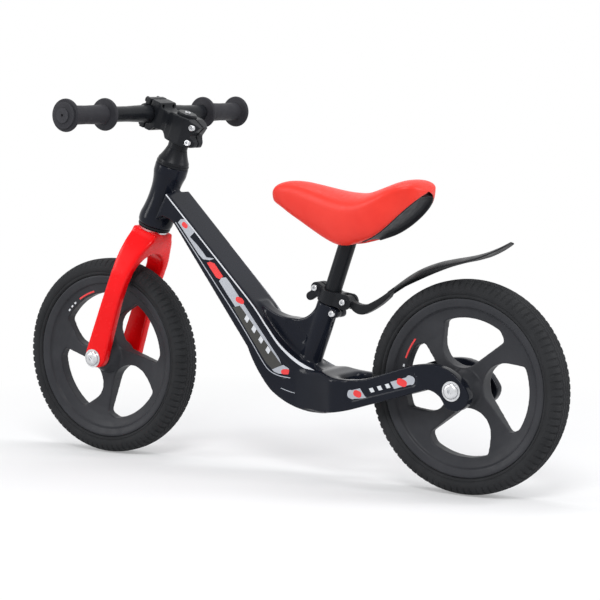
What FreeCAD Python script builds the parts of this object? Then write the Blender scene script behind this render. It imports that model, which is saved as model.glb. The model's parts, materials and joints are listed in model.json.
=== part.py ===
import FreeCAD, Part
import math
import os
import re

import Sketcher
from FreeCAD import Placement, Rotation, Vector

# A child's balance bike: cast frame, steered fork, two foam-tyred wheels, sliding saddle post
# and a swinging mudguard. Millimetres. +X is forwards, +Y the rider's left, +Z up. The origin
# lies on the ground, half-way between the axles, in the plane that the wheels run in.

DOC = FreeCAD.newDocument("balance_bike")
SHEET = DOC.addObject("Spreadsheet::Sheet", "Sizes")
NODES = []

SIZES = [
    # wheels
    ("wheel_radius", 145.0, "tyre's outer radius"),
    ("wheel_base", 605.0, "distance between the axles"),
    ("tyre_half_width", 22.5, "half the tyre's width"),
    ("tread_half_width", 11.0, "half the flat of the tread"),
    ("shoulder_drop", 9.0, "tread to the widest part of the tyre"),
    ("rim_seat_radius", 121.0, "tyre's seat on the rim"),
    ("rim_half_width", 19.0, "half the rim's width"),
    ("rim_well_radius", 108.0, "step inside the rim's flange"),
    ("rim_well_half", 13.0, "half width at the step"),
    ("opening_radius", 94.0, "outer edge of the openings between spokes"),
    ("rim_lip_half", 8.0, "half width at the openings' outer edge"),
    ("spoke_count", 4.0, "spokes in a wheel"),
    ("spoke_root_half", 12.0, "half thickness of a spoke at the hub"),
    ("front_spoke_turn", -37.0, "front wheel's resting turn, degrees"),
    ("hub_radius", 22.0, "hub barrel"),
    ("hub_end_radius", 17.5, "hub's end faces"),
    ("hub_half_length", 29.0, "half the hub's length"),
    ("hub_barrel_half", 21.0, "half the length of the full barrel"),
    # axles and bearings
    ("axle_radius", 5.0, "axle shaft"),
    ("bearing_radius", 13.0, "wheel bearing's outer radius"),
    ("bearing_width", 8.0, "wheel bearing's width"),
    ("bearing_sink", 1.0, "hub's end to the bearing's face"),
    ("running_gap", 0.05, "radial clearance of a running fit"),
    ("slip_gap", 0.15, "radial clearance of a fixed, slipped-on piece"),
    ("gap_half", 33.0, "half the gap that a wheel runs in"),
    ("arm_half", 48.0, "outer faces of the stays and the fork legs"),
    ("washer_radius", 13.5, "axle washer"),
    ("washer_thickness", 1.4, "axle washer"),
    ("axle_head_radius", 10.8, "axle bolt's head"),
    ("axle_head_height", 5.0, "axle bolt's head"),
    ("axle_bolt_radius", 3.0, "axle bolt's shank"),
    ("axle_bolt_length", 18.0, "axle bolt's shank"),
    ("hex_key_radius", 3.4, "axle bolt's key socket, across corners"),
    # steering
    ("head_angle", 20.5, "steering axis, degrees from upright"),
    ("fork_offset", 5.4, "front axle ahead of the steering axis"),
    ("crown_seat", "=wheel_radius + 61", "axle line to the crown race, along the axis"),
    ("head_start", "=crown_seat + 8", "axle line to the head tube"),
    ("head_length", 94.0, "head tube"),
    ("head_end_radius", "=cup_radius + 1.5", "head tube's ends"),
    ("head_waist_radius", "=steerer_radius + 8", "head tube's waist"),
    ("steerer_radius", 12.7, "steerer tube"),
    ("steerer_wall", 2.0, "steerer tube"),
    ("crown_half", 22.0, "half the fork crown's top"),
    ("crown_x", "=wheel_base / 2 - fork_offset * cos(head_angle * 1deg) - crown_seat * sin(head_angle * 1deg)",
     "crown race, ahead of the origin"),
    ("crown_z", "=wheel_radius - fork_offset * sin(head_angle * 1deg) + crown_seat * cos(head_angle * 1deg)",
     "crown race, above the ground"),
    ("steerer_sink", 30.0, "steerer's length inside the crown"),
    ("cup_radius", "=steerer_radius + 11.3", "headset cup's rim"),
    ("cup_bore_radius", "=steerer_radius + 7.3", "headset cup's pressed part"),
    ("cup_depth", 9.0, "headset cup's pressed part"),
    ("cup_lip", 3.0, "headset cup's rim"),
    ("ball_radius", 2.4, "headset ball"),
    ("ball_circle", "=steerer_radius + 3.3", "circle of ball centres"),
    ("ball_count", 14.0, "balls in a race"),
    ("cover_height", 22.0, "headset cover"),
    ("collar_radius", "=steerer_radius + 1.9", "spacer on the steerer"),
    ("spacer_height", 10.0, "spacer on the steerer"),
    # stem and handlebar
    ("stem_reach", 54.2, "steering axis to the bar's centre"),
    ("stem_height", 41.0, "stem's grip on the steerer"),
    ("bar_drop", 17.5, "stem's top to the bar's centre, along the axis"),
    ("stem_half_width", 19.0, "half the stem's width"),
    ("stem_tail", 34.0, "steering axis to the stem's rear point"),
    ("bar_radius", 11.1, "handlebar at the grips"),
    ("bar_clamp_radius", 12.7, "handlebar in the clamp"),
    ("bar_bore_radius", 9.0, "handlebar's bore"),
    ("bar_half_length", 205.0, "half the handlebar's length"),
    ("bar_bulge_half", 30.0, "half the full-width middle of the bar"),
    ("bar_taper", 40.0, "length of the bar's taper"),
    ("clamp_wall", 4.5, "stem's wall round the bar"),
    ("clamp_gap", 1.6, "gap between stem and faceplate"),
    ("faceplate_depth", 9.0, "bar's centre to the seat of the faceplate bolts"),
    ("clamp_ear", 22.5, "bar's centre to the end of the clamp's ears"),
    ("clamp_bolt_row", 17.6, "bar's centre to the faceplate bolts"),
    ("clamp_bolt_spread", 12.0, "stem's centre to a faceplate bolt"),
    ("small_bolt_radius", 2.5, "stem bolts' shank"),
    ("small_head_radius", 4.4, "stem bolts' head"),
    ("small_head_height", 4.6, "stem bolts' head"),
    ("pinch_setback", 25.5, "steering axis to the pinch bolts"),
    ("pinch_slit", 2.0, "stem's slit"),
    ("grip_inner", 117.5, "middle of a grip's inner flange"),
    ("grip_outer", 203.5, "middle of a grip's outer flange"),
    ("grip_radius", 13.6, "grip's sleeve"),
    ("flange_radius", 22.5, "grip's flanges"),
    ("flange_half", 3.2, "half the thickness of a flange"),
    ("grip_end", 212.0, "grip's outer end"),
    # frame
    ("beam_half", 28.0, "half the main beam's width"),
    ("yoke_back", 113.0, "origin to the root of the slot for the rear wheel"),
    ("web_half", 13.0, "half the thickness of the web under the saddle tube"),
    ("seat_angle", 19.9, "saddle tube, degrees from upright"),
    ("seat_top_x", -80.3, "top of the saddle tube"),
    ("seat_top_z", "=2 * wheel_radius - 44", "top of the saddle tube"),
    ("seat_tube_radius", 16.0, "saddle tube's outside"),
    ("seat_tube_length", 130.0, "saddle tube, down into the beam"),
    ("seat_bore_depth", 125.0, "bore for the saddle post"),
    ("post_radius", 12.0, "saddle post"),
    ("post_wall", 2.0, "saddle post"),
    ("post_bottom", -75.0, "lower end of the post, from the tube's top"),
    ("post_top", 112.0, "upper end of the post, from the tube's top"),
    ("slit_width", 2.4, "slit in the saddle tube"),
    ("slit_depth", 38.0, "slit in the saddle tube"),
    ("binder_setback", 2.4, "tube's back to the binder bolt"),
    ("binder_drop", 8.0, "tube's top to the binder bolt"),
    # saddle-tube collar and mudguard
    ("collar_wall", 5.5, "collar round the post"),
    ("collar_height", 19.0, "collar round the post"),
    ("collar_lift", 0.4, "tube's top to the collar"),
    ("collar_slit", 2.4, "slit between the front ears"),
    ("ear_radius", 8.0, "collar's front ears"),
    ("ear_half", 12.0, "half the width over the ears"),
    ("front_ear_reach", 21.0, "post's axis to the clamp bolt"),
    ("front_ear_lift", 14.5, "tube's top to the clamp bolt"),
    ("pivot_reach", 28.0, "post's axis to the mudguard's pivot"),
    ("pivot_lift", 13.0, "tube's top to the mudguard's pivot"),
    ("pivot_ear_radius", 11.0, "collar's rear ears"),
    ("hinge_radius", 9.5, "mudguard's hinge barrel"),
    ("hinge_half", 7.0, "half the mudguard's hinge barrel"),
    ("hinge_gap", 0.2, "side clearance at a hinge"),
    ("lever_half", 3.5, "half the clamp lever's thickness"),
    ("lever_width", 12.0, "clamp lever"),
    ("lever_length", 30.0, "clamp lever's pivot to the centre of its tip"),
    ("lever_lean", -39.6, "clamp lever, degrees from the saddle tube"),
    ("neck_radius", 6.0, "mudguard's neck"),
    ("guard_half", 24.0, "half the mudguard's greatest width"),
    ("guard_skin", 3.0, "mudguard's skin"),
    # saddle
    ("saddle_gap", 0.3, "cushion to its shell"),
    ("saddle_half", 50.0, "half the saddle's greatest width"),
    ("saddle_nose_half", 19.0, "half the saddle's nose"),
]


def fill_sheet():
    for row, (alias, value, note) in enumerate(SIZES, start=1):
        SHEET.set(f"A{row}", note)
        SHEET.set(f"B{row}", str(value))
        SHEET.setAlias(f"B{row}", alias)
    DOC.recompute()


def linked(formula):
    """Point every size named in a formula at its cell."""
    return re.sub(r"\b[a-z]+(?:_[a-z0-9]+)+\b", r"Sizes.\g<0>", str(formula))


def size(formula):
    return float(SHEET.evalExpression(linked(formula)))


def steering(x=0.0, y=0.0, along=0.0, turn=None):
    """A place in the steering frame: x forwards of the axis, y left, and along the axis."""
    tilt = math.radians(size("head_angle"))
    offset = size("fork_offset")
    foot = Vector(size("wheel_base / 2") - offset * math.cos(tilt), 0,
                  size("wheel_radius") - offset * math.sin(tilt))
    frame = Placement(foot, Rotation(Vector(0, 1, 0), -size("head_angle")))
    return frame.multiply(Placement(Vector(x, y, along), turn or Rotation()))


def saddle_line(x=0.0, y=0.0, along=0.0, turn=None):
    """A place in the saddle tube's frame: x forwards of its axis, y left, up from its top."""
    top = Vector(size("seat_top_x"), 0, size("seat_top_z"))
    frame = Placement(top, Rotation(Vector(0, 1, 0), -size("seat_angle")))
    return frame.multiply(Placement(Vector(x, y, along), turn or Rotation()))


def anchored(x_from, z_from, numbers):
    """A point of a side outline, and the point its arc passes, as offsets from an anchor."""
    return tuple(f"{(z_from, x_from)[index % 2 == 0]} + {number}" for index, number in enumerate(numbers))


def by_crown(*numbers):
    return anchored("crown_x", "crown_z", numbers)


def by_rear_axle(*numbers):
    return anchored("-wheel_base / 2", "wheel_radius", numbers)


def by_axle_line(*numbers):
    return anchored("0", "wheel_radius", numbers)


def by_tyre_top(*numbers):
    return anchored("0", "2 * wheel_radius", numbers)


TO_RIGHT = Rotation(Vector(1, 0, 0), 90)
TO_LEFT = Rotation(Vector(1, 0, 0), -90)
TO_FRONT = Rotation(Vector(0, 1, 0), 90)


def rear_axle(y=0.0, turn=TO_RIGHT):
    return Placement(Vector(-size("wheel_base / 2"), y, size("wheel_radius")), turn)


def front_axle(y=0.0, turn=TO_RIGHT):
    return Placement(Vector(size("wheel_base / 2"), y, size("wheel_radius")), turn)


def new_body(label, placement):
    body = DOC.addObject("PartDesign::Body", label)
    body.Label = label
    body.Placement = placement
    return body


def new_sketch(body, role, name):
    sketch = body.newObject("Sketcher::SketchObject", name)
    plane = next(item for item in body.Origin.OriginFeatures if item.Role == role)
    sketch.AttachmentSupport = [(plane, "")]
    sketch.MapMode = "FlatFace"
    return sketch


def arc_through(start, via, end):
    """An arc drawn the way sketches want it, and whether it had to be turned round."""
    full = Part.Arc(start, via, end).toShape().Curve
    centre = full.Center
    turning = (via - start).cross(end - via).z
    first, last = (start, end) if turning > 0 else (end, start)
    low = math.atan2(first.y - centre.y, first.x - centre.x)
    high = math.atan2(last.y - centre.y, last.x - centre.x)
    if high < low:
        high += 2 * math.pi
    circle = Part.Circle(centre, Vector(0, 0, 1), full.Radius)
    return Part.ArcOfCircle(circle, low, high), turning < 0


def pin_point(sketch, index, position, formulas):
    """Tie one point of a sketch to two formulas of the sheet."""
    for kind, letter, axis, formula in (("DistanceX", "x", -2, formulas[0]),
                                        ("DistanceY", "y", -1, formulas[1])):
        amount = size(formula)
        if abs(amount) < 1e-9:
            sketch.addConstraint(Sketcher.Constraint("PointOnObject", index, position, axis))
            continue
        number = sketch.addConstraint(
            Sketcher.Constraint(kind, -1, 1, index, position, amount))
        name = f"{letter}{index}_{position}"
        sketch.renameConstraint(number, name)
        sketch.setExpression(f"Constraints.{name}", linked(formula))


def draw_outline(sketch, path):
    """Close a chain of corners. A corner is (x, y), or (x, y, via_x, via_y) where an arc leads to it."""
    count = len(path)
    spots = [Vector(size(step[0]), size(step[1]), 0) for step in path]
    ends = []
    for number in range(count):
        target = path[(number + 1) % count]
        start, end = spots[number], spots[(number + 1) % count]
        if len(target) == 4:
            via = Vector(size(target[2]), size(target[3]), 0)
            curve, turned_round = arc_through(start, via, end)
            index = sketch.addGeometry(curve, False)
            ends.append((index, 2, 1) if turned_round else (index, 1, 2))
            marker = sketch.addGeometry(Part.Point(via), True)
            pin_point(sketch, marker, 1, target[2:])
            sketch.addConstraint(Sketcher.Constraint("PointOnObject", marker, 1, index))
        else:
            index = sketch.addGeometry(Part.LineSegment(start, end), False)
            ends.append((index, 1, 2))
    for number, (index, first, _) in enumerate(ends):
        before, _, last = ends[number - 1]
        sketch.addConstraint(Sketcher.Constraint("Coincident", before, last, index, first))
        pin_point(sketch, index, first, path[number][:2])


def turned(label, profile, placement):
    """A piece turned on a lathe: corners are (radius, height) round the body's own Z axis."""
    body = new_body(label, placement)
    sketch = new_sketch(body, "XZ_Plane", f"{label}_profile")
    draw_outline(sketch, profile)
    turn = body.newObject("PartDesign::Revolution", f"{label}_turn")
    turn.Profile = sketch
    turn.ReferenceAxis = (sketch, ["V_Axis"])
    turn.Angle = 360
    sketch.Visibility = False
    DOC.recompute()
    return body


def plate(label, path, thickness, placement, role="XZ_Plane"):
    """A piece of one thickness, centred on the plane that its outline is drawn in."""
    body = new_body(label, placement)
    sketch = new_sketch(body, role, f"{label}_outline")
    draw_outline(sketch, path)
    pad = body.newObject("PartDesign::Pad", f"{label}_pad")
    pad.Profile = sketch
    pad.SideType = "Symmetric"
    pad.Length = size(thickness)
    pad.setExpression("Length", linked(thickness))
    DOC.recompute()
    return body


def pocket(body, name, path, role, count=None):
    """Cut an outline right through a body, and repeat the cut round its Z axis."""
    sketch = new_sketch(body, role, f"{name}_outline")
    draw_outline(sketch, path)
    cut = body.newObject("PartDesign::Pocket", name)
    cut.Profile = sketch
    cut.Type = "ThroughAll"
    cut.SideType = "Symmetric"
    if count:
        axis = next(item for item in body.Origin.OriginFeatures if item.Role == "Z_Axis")
        ring = body.newObject("PartDesign::PolarPattern", f"{name}_ring")
        ring.Originals = [cut]
        ring.Axis = (axis, [""])
        ring.Angle = 360
        ring.Occurrences = int(size(count))
        ring.setExpression("Occurrences", linked(count))
        body.Tip = ring
    DOC.recompute()


def rounded(body, radius, wanted):
    """Round the edges of a body that pass a test, given in the body's own frame."""
    base = body.Tip
    names = [f"Edge{number}" for number, edge in enumerate(base.Shape.Edges, start=1) if wanted(edge)]
    fillet = body.newObject("PartDesign::Fillet", f"{body.Name}_round{len(body.Group)}")
    fillet.Base = (base, names)
    fillet.Radius = size(radius)
    fillet.setExpression("Radius", linked(radius))
    DOC.recompute()
    return fillet


def on_faces(half, axis="y"):
    """A test for the edges that lie in the two flat faces of a plate."""
    def test(edge):
        box = edge.BoundBox
        low, high = (box.YMin, box.YMax) if axis == "y" else (box.XMin, box.XMax)
        return high - low < 1e-6 and abs(abs(low) - half) < 1e-4
    return test


def cylinder(label, radius, length, placement):
    """A drilled or plain cylinder, centred on its placement."""
    item = DOC.addObject("Part::Cylinder", label)
    item.Radius = size(radius)
    item.Height = size(length)
    item.setExpression("Radius", linked(radius))
    item.setExpression("Height", linked(length))
    item.Placement = placement.multiply(Placement(Vector(0, 0, -size(length) / 2), Rotation()))
    return item


def block(label, sides, placement):
    """A block centred on its placement."""
    item = DOC.addObject("Part::Box", label)
    for prop, formula in zip(("Length", "Width", "Height"), sides):
        setattr(item, prop, size(formula))
        item.setExpression(prop, linked(formula))
    centre = Vector(*[-size(formula) / 2 for formula in sides])
    item.Placement = placement.multiply(Placement(centre, Rotation()))
    return item


def prism(label, corner_radius, length, placement, sides=6):
    item = DOC.addObject("Part::Prism", label)
    item.Polygon = sides
    item.Circumradius = size(corner_radius)
    item.Height = size(length)
    item.setExpression("Circumradius", linked(corner_radius))
    item.setExpression("Height", linked(length))
    item.Placement = placement
    return item


def fused(label, shapes):
    item = DOC.addObject("Part::MultiFuse", label)
    item.Shapes = shapes
    item.Refine = True
    DOC.recompute()
    return item


def common(label, shapes):
    item = DOC.addObject("Part::MultiCommon", label)
    item.Shapes = shapes
    DOC.recompute()
    return item


def cut(label, base, tools):
    tool = tools[0] if len(tools) == 1 else fused(f"{label}_cutters", tools)
    item = DOC.addObject("Part::Cut", label)
    item.Base = base
    item.Tool = tool
    DOC.recompute()
    return item


def group(label, pieces):
    item = DOC.addObject("Part::Compound", label)
    item.Links = pieces
    DOC.recompute()
    return item


def keep(item, label=None):
    """Enter a finished piece in the list of nodes."""
    item.Label = label or item.Label
    NODES.append(item)
    return item


def ring_profile(inner, outer, low, high):
    return [(inner, low), (outer, low), (outer, high), (inner, high)]


# ---------------------------------------------------------------- wheels

def mirrored(half):
    """The profile's lower half, then the same corners above the middle plane."""
    lower = [(radius, f"-({height})") for radius, height in half]
    upper = [(radius, height) for radius, height in reversed(half)]
    return lower + upper


RIM_HALF = [
    ("axle_radius + 3", "hub_half_length - bearing_sink - bearing_width"),
    ("bearing_radius", "hub_half_length - bearing_sink - bearing_width"),
    ("bearing_radius", "hub_half_length"),
    ("hub_end_radius", "hub_half_length"),
    ("hub_radius", "hub_barrel_half"),
    ("hub_radius + 4", "spoke_root_half"),
    ("opening_radius - 14", "rim_lip_half - 1.5"),
    ("opening_radius - 2", "rim_lip_half"),
    ("opening_radius + 6", "rim_well_half - 3"),
    ("rim_well_radius", "rim_well_half"),
    ("rim_well_radius + 1", "rim_well_half + 3"),
    ("rim_seat_radius - 3", "rim_half_width"),
    ("rim_seat_radius", "rim_half_width"),
]

TYRE_HALF = [
    ("rim_seat_radius", "rim_half_width - 1"),
    ("rim_seat_radius + 3", "rim_half_width + 2.4"),
    ("wheel_radius - shoulder_drop - 6", "tyre_half_width"),
    ("wheel_radius - shoulder_drop + 1", "tyre_half_width - 0.8"),
    ("wheel_radius - 2.2", "tread_half_width + 5.5"),
    ("wheel_radius", "tread_half_width - 4"),
]

# One opening between two spokes, as seen from the left with the opening upwards: a nearly
# radial front side, a curved root round the hub and a straight rear side.
OPENING = [
    ("0.36 * opening_radius", "0.9330 * opening_radius", "0", "opening_radius"),
    ("0.39 * opening_radius", "0.64 * opening_radius"),
    ("0.32 * opening_radius", "0.41 * opening_radius", "0.375 * opening_radius", "0.52 * opening_radius"),
    ("-0.13 * opening_radius", "0.34 * opening_radius", "0.05 * opening_radius", "hub_radius + 5"),
    ("-0.60 * opening_radius", "0.70 * opening_radius"),
    ("-0.53 * opening_radius", "0.8480 * opening_radius"),
]


def rim(label, placement):
    body = turned(label, mirrored(RIM_HALF), placement)
    pocket(body, f"{label}_opening", OPENING, "XY_Plane", "spoke_count")

    def along_axle(edge):
        box = edge.BoundBox
        reach = math.hypot((box.XMin + box.XMax) / 2, (box.YMin + box.YMax) / 2)
        straight = box.XLength < 1e-4 and box.YLength < 1e-4
        return straight and reach > size("hub_radius + 12")
    rounded(body, "6", along_axle)
    return body


def wheel_pieces(side, place, turn):
    """Tyre, rim, bearings and everything on the axle of one wheel."""
    rest = Rotation(Vector(0, 0, 1), turn)
    keep(turned(f"{side}_tyre", mirrored(TYRE_HALF), place()))
    keep(rim(f"{side}_rim", place().multiply(Placement(Vector(), rest))))
    middle = "hub_half_length - bearing_sink - bearing_width / 2"
    bearing = [
        ("axle_radius + slip_gap", "-bearing_width / 2"),
        ("axle_radius + 2.6", "-bearing_width / 2"),
        ("axle_radius + 2.9", "-bearing_width / 2 + 0.6"),
        ("bearing_radius - 2.2", "-bearing_width / 2 + 0.6"),
        ("bearing_radius - 1.9", "-bearing_width / 2"),
        ("bearing_radius", "-bearing_width / 2"),
        ("bearing_radius", "bearing_width / 2"),
        ("bearing_radius - 1.9", "bearing_width / 2"),
        ("bearing_radius - 2.2", "bearing_width / 2 - 0.6"),
        ("axle_radius + 2.9", "bearing_width / 2 - 0.6"),
        ("axle_radius + 2.6", "bearing_width / 2"),
        ("axle_radius + slip_gap", "bearing_width / 2"),
    ]
    for name, sign in (("left", 1), ("right", -1)):
        keep(turned(f"{side}_bearing_{name}", bearing, place(sign * size(middle))))
    keep(cut(f"{side}_axle",
             cylinder(f"{side}_axle_rod", "axle_radius", "2 * arm_half - 0.6", place()),
             [cylinder(f"{side}_axle_bore", "axle_bolt_radius", "2 * arm_half", place())]))
    spacer = ring_profile("axle_radius + slip_gap", "axle_radius + 3.2",
                          "hub_half_length - bearing_sink + 0.1", "gap_half - 0.1")
    keep(group(f"{side}_axle_spacers",
               [turned(f"{side}_spacer_{name}", spacer, place(0, turn_to))
                for name, turn_to in (("left", TO_LEFT), ("right", TO_RIGHT))]))
    keep(group(f"{side}_axle_washers",
               [turned(f"{side}_washer_{name}",
                       ring_profile("axle_bolt_radius + 0.3", "washer_radius",
                                    "arm_half", "arm_half + washer_thickness"),
                       place(0, turn_to))
                for name, turn_to in (("left", TO_LEFT), ("right", TO_RIGHT))]))
    bolts = []
    face = "arm_half + washer_thickness"
    head = [
        ("0", f"{face} - axle_bolt_length"),
        ("axle_bolt_radius - slip_gap", f"{face} - axle_bolt_length"),
        ("axle_bolt_radius - slip_gap", face),
        ("axle_head_radius", face),
        ("axle_head_radius", f"{face} + 1.2"),
        ("0.5 * axle_head_radius", f"{face} + axle_head_height",
         "0.86 * axle_head_radius", f"{face} + 0.72 * axle_head_height"),
        ("0", f"{face} + axle_head_height"),
    ]
    for name, turn_to in (("left", TO_LEFT), ("right", TO_RIGHT)):
        blank = turned(f"{side}_bolt_blank_{name}", head, place(0, turn_to))
        key = prism(f"{side}_bolt_key_{name}", "hex_key_radius", "axle_head_height",
                    place(0, turn_to).multiply(Placement(Vector(0, 0, size(f"{face} + 1.6")), Rotation())))
        bolts.append(cut(f"{side}_bolt_{name}", blank, [key]))
    keep(group(f"{side}_axle_bolts", bolts))


# ---------------------------------------------------------------- frame

BEAM = [
    by_crown(-22.3, 15.9),
    by_crown(-44.3, 56.9),
    by_axle_line(25, 91),
    by_axle_line(-85, 5, -19, 39),
    by_axle_line(-112, 1),
    by_axle_line(-112, -44.5),
    by_axle_line(-77, -51.5, -96, -50),
    by_axle_line(2, -24.5, -36, -45),
    by_axle_line(40, 33, 24, 3),
    by_crown(-57.3, 11.4),
    by_crown(-35.3, 21.9, -47.3, 17.9),
]

STAYS = [
    by_axle_line(-40, 5),
    by_axle_line(-88, 9),
    by_axle_line(-128, 2, -108, 4),
    by_rear_axle(129.5, 7, 152.5, 2.8),
    by_rear_axle(72.5, 26.5),
    by_rear_axle(40.5, 33, 56.5, 31),
    by_rear_axle(-25.5, -4, -3.5, 22),
    by_rear_axle(11.5, -22, -14.5, -24),
    by_rear_axle(40.5, -1.5, 21.5, -7.5),
    by_rear_axle(83.5, -15.5, 61.5, -8.4),
    by_rear_axle(149.5, -36),
    by_axle_line(-90, -48.5, -121, -44.4),
    by_axle_line(-40, -45),
]

YOKE_PLAN = [
    ("-30", "beam_half - 2"),
    ("-112", "arm_half", "-66", "beam_half + 5"),
    ("-wheel_base / 2 - 38", "arm_half"),
    ("-wheel_base / 2 - 38", "gap_half"),
    ("-yoke_back - 16", "gap_half"),
    ("-yoke_back", "gap_half - 16", "-yoke_back - 4.7", "gap_half - 4.7"),
    ("-yoke_back", "16 - gap_half"),
    ("-yoke_back - 16", "-gap_half", "-yoke_back - 4.7", "4.7 - gap_half"),
    ("-wheel_base / 2 - 38", "-gap_half"),
    ("-wheel_base / 2 - 38", "-arm_half"),
    ("-112", "-arm_half"),
    ("-30", "2 - beam_half", "-66", "-beam_half - 5"),
]

WEB = [
    by_axle_line(40, 80),
    by_axle_line(30, 98),
    by_axle_line(-24, 77, 4, 82),
    by_axle_line(-64, 93, -46, 79),
    by_axle_line(-60, 5),
    by_axle_line(0, 15),
]


def head_shell():
    start, stop = "head_start", "head_start + head_length"
    return turned("head_shell", [
        ("0", start),
        ("head_end_radius - 0.8", start),
        ("head_end_radius", f"{start} + 14", "head_end_radius + 0.4", f"{start} + 8"),
        ("head_waist_radius", f"{start} + 0.53 * head_length",
         "head_waist_radius + 1.4", f"{start} + 0.33 * head_length"),
        ("head_end_radius - 1", f"{stop} - 14", "head_waist_radius + 1.2", f"{stop} - 0.27 * head_length"),
        ("head_end_radius - 1", stop),
        ("0", stop),
    ], steering())


def head_bore():
    start, stop = "head_start", "head_start + head_length"
    return turned("head_bore", [
        ("0", f"{start} - 1"),
        ("cup_bore_radius", f"{start} - 1"),
        ("cup_bore_radius", f"{start} + cup_depth"),
        ("steerer_radius + 2.5", f"{start} + cup_depth"),
        ("steerer_radius + 2.5", f"{stop} - cup_depth"),
        ("cup_bore_radius", f"{stop} - cup_depth"),
        ("cup_bore_radius", f"{stop} + 1"),
        ("0", f"{stop} + 1"),
    ], steering())


def seat_shell():
    return turned("seat_shell", [
        ("0", "-seat_tube_length"),
        ("seat_tube_radius", "-seat_tube_length"),
        ("seat_tube_radius", "-1"),
        ("seat_tube_radius - 1", "0"),
        ("0", "0"),
    ], saddle_line())


def main_frame():
    beam = plate("frame_beam", BEAM, "2 * beam_half", Placement())
    side = plate("stay_side", STAYS, "2 * arm_half + 4", Placement())
    plan = plate("stay_plan", YOKE_PLAN, "600", Placement(), "XY_Plane")
    stays = common("frame_stays", [side, plan])
    web = plate("frame_web", WEB, "2 * web_half", Placement())
    binder = cylinder("binder_boss", "small_head_radius + 2.6", "2 * seat_tube_radius - 4",
                      saddle_line(-size("seat_tube_radius + binder_setback"), 0, -size("binder_drop"), TO_RIGHT))
    shell = fused("frame_shell", [beam, stays, web, head_shell(), seat_shell(), binder])
    slit = block("seat_slit", ("seat_tube_radius + 8", "slit_width", "slit_depth + 2"),
                 saddle_line(-size("seat_tube_radius"), 0, -size("slit_depth - 2") / 2))
    cutters = [
        head_bore(),
        cylinder("seat_bore", "post_radius + running_gap", "seat_bore_depth + 10",
                 saddle_line(0, 0, -size("seat_bore_depth - 10") / 2)),
        slit,
        cylinder("binder_hole", "small_bolt_radius + slip_gap", "60",
                 saddle_line(-size("seat_tube_radius + binder_setback"), 0, -size("binder_drop"), TO_RIGHT)),
        cylinder("rear_axle_hole", "axle_radius + slip_gap", "2 * arm_half + 20", rear_axle()),
    ]
    keep(cut("main_frame", shell, cutters))



# ---------------------------------------------------------------- headset

HEAD_TOP = "(head_start + head_length)"
COVER = f"({HEAD_TOP} + cup_lip)"
STEM = f"({COVER} + cover_height + spacer_height)"
STEM_TOP = f"({STEM} + stem_height)"
BAR = f"({STEM_TOP} - bar_drop)"
BALL_ROW = "0.15"


def cup(label, mouth, sign):
    """A pressed cup. Its rim stands out of the head tube at the height called mouth."""
    return turned(label, [
        ("steerer_radius + 1.5", f"{mouth} - {sign} * cup_depth"),
        ("cup_bore_radius", f"{mouth} - {sign} * cup_depth"),
        ("cup_bore_radius", mouth),
        ("cup_radius", mouth),
        ("cup_radius", f"{mouth} + {sign} * cup_lip"),
        ("ball_circle + ball_radius + 0.2", f"{mouth} + {sign} * cup_lip"),
        ("ball_circle + ball_radius + 0.2", f"{mouth} - {sign} * (ball_radius + 0.2)"),
        ("steerer_radius + 1.5", f"{mouth} - {sign} * (ball_radius + 0.2)"),
    ], steering())


def balls(label, row):
    pieces = []
    count = int(size("ball_count"))
    for number in range(count):
        angle = 2 * math.pi * number / count
        reach = size("ball_circle")
        ball = DOC.addObject("Part::Sphere", f"{label}_{number + 1}")
        ball.Radius = size("ball_radius")
        ball.setExpression("Radius", linked("ball_radius"))
        ball.Placement = steering(reach * math.cos(angle), reach * math.sin(angle), size(row))
        pieces.append(ball)
    return group(label, pieces)


def headset():
    bore = "steerer_radius + running_gap"
    inner = "ball_circle - ball_radius - running_gap"
    seat = "ball_radius - 0.05"
    keep(cup("upper_headset_cup", HEAD_TOP, "1"))
    keep(cup("lower_headset_cup", "head_start", "-1"))
    keep(balls("upper_headset_balls", f"{HEAD_TOP} - {BALL_ROW}"))
    keep(balls("lower_headset_balls", f"head_start + {BALL_ROW}"))
    keep(turned("upper_headset_cone", [
        (bore, f"{HEAD_TOP} - 1"),
        (inner, f"{HEAD_TOP} - 1"),
        (inner, f"{HEAD_TOP} + {seat}"),
        ("ball_circle + 2", f"{HEAD_TOP} + {seat}"),
        ("ball_circle + 2", f"{HEAD_TOP} + 4.5"),
        ("ball_circle - 0.5", f"{HEAD_TOP} + 8"),
        (bore, f"{HEAD_TOP} + 8"),
    ], steering()))
    keep(turned("crown_race", [
        (bore, "crown_seat"),
        ("cup_radius - 2.5", "crown_seat"),
        ("cup_radius - 1", "crown_seat + 3"),
        ("ball_circle + 2", "crown_seat + 4.2"),
        ("ball_circle + 2", f"head_start - ({seat})"),
        (inner, f"head_start - ({seat})"),
        (inner, "head_start + 1"),
        (bore, "head_start + 1"),
    ], steering()))
    keep(turned("headset_cover", [
        ("ball_circle + 2.4", f"{COVER} + 0.3"),
        ("cup_radius - 0.5", f"{COVER} + 0.3"),
        ("cup_radius - 1.2", f"{COVER} + 4"),
        ("collar_radius + 0.4", f"{COVER} + cover_height", "collar_radius + 3.4", f"{COVER} + 0.62 * cover_height"),
        (bore, f"{COVER} + cover_height"),
        (bore, f"{HEAD_TOP} + 8.3"),
        ("ball_circle", f"{HEAD_TOP} + 8.3"),
        ("ball_circle + 2.4", f"{HEAD_TOP} + 4.8"),
    ], steering()))
    keep(turned("headset_spacer",
                ring_profile(bore, "collar_radius", f"{COVER} + cover_height + 0.05", f"{STEM} - 0.05"),
                steering()))
    keep(turned("steerer_tube",
                ring_profile("steerer_radius - steerer_wall", "steerer_radius",
                             "crown_seat - steerer_sink", f"{STEM_TOP} - 2"),
                steering()))


# ---------------------------------------------------------------- fork

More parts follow.
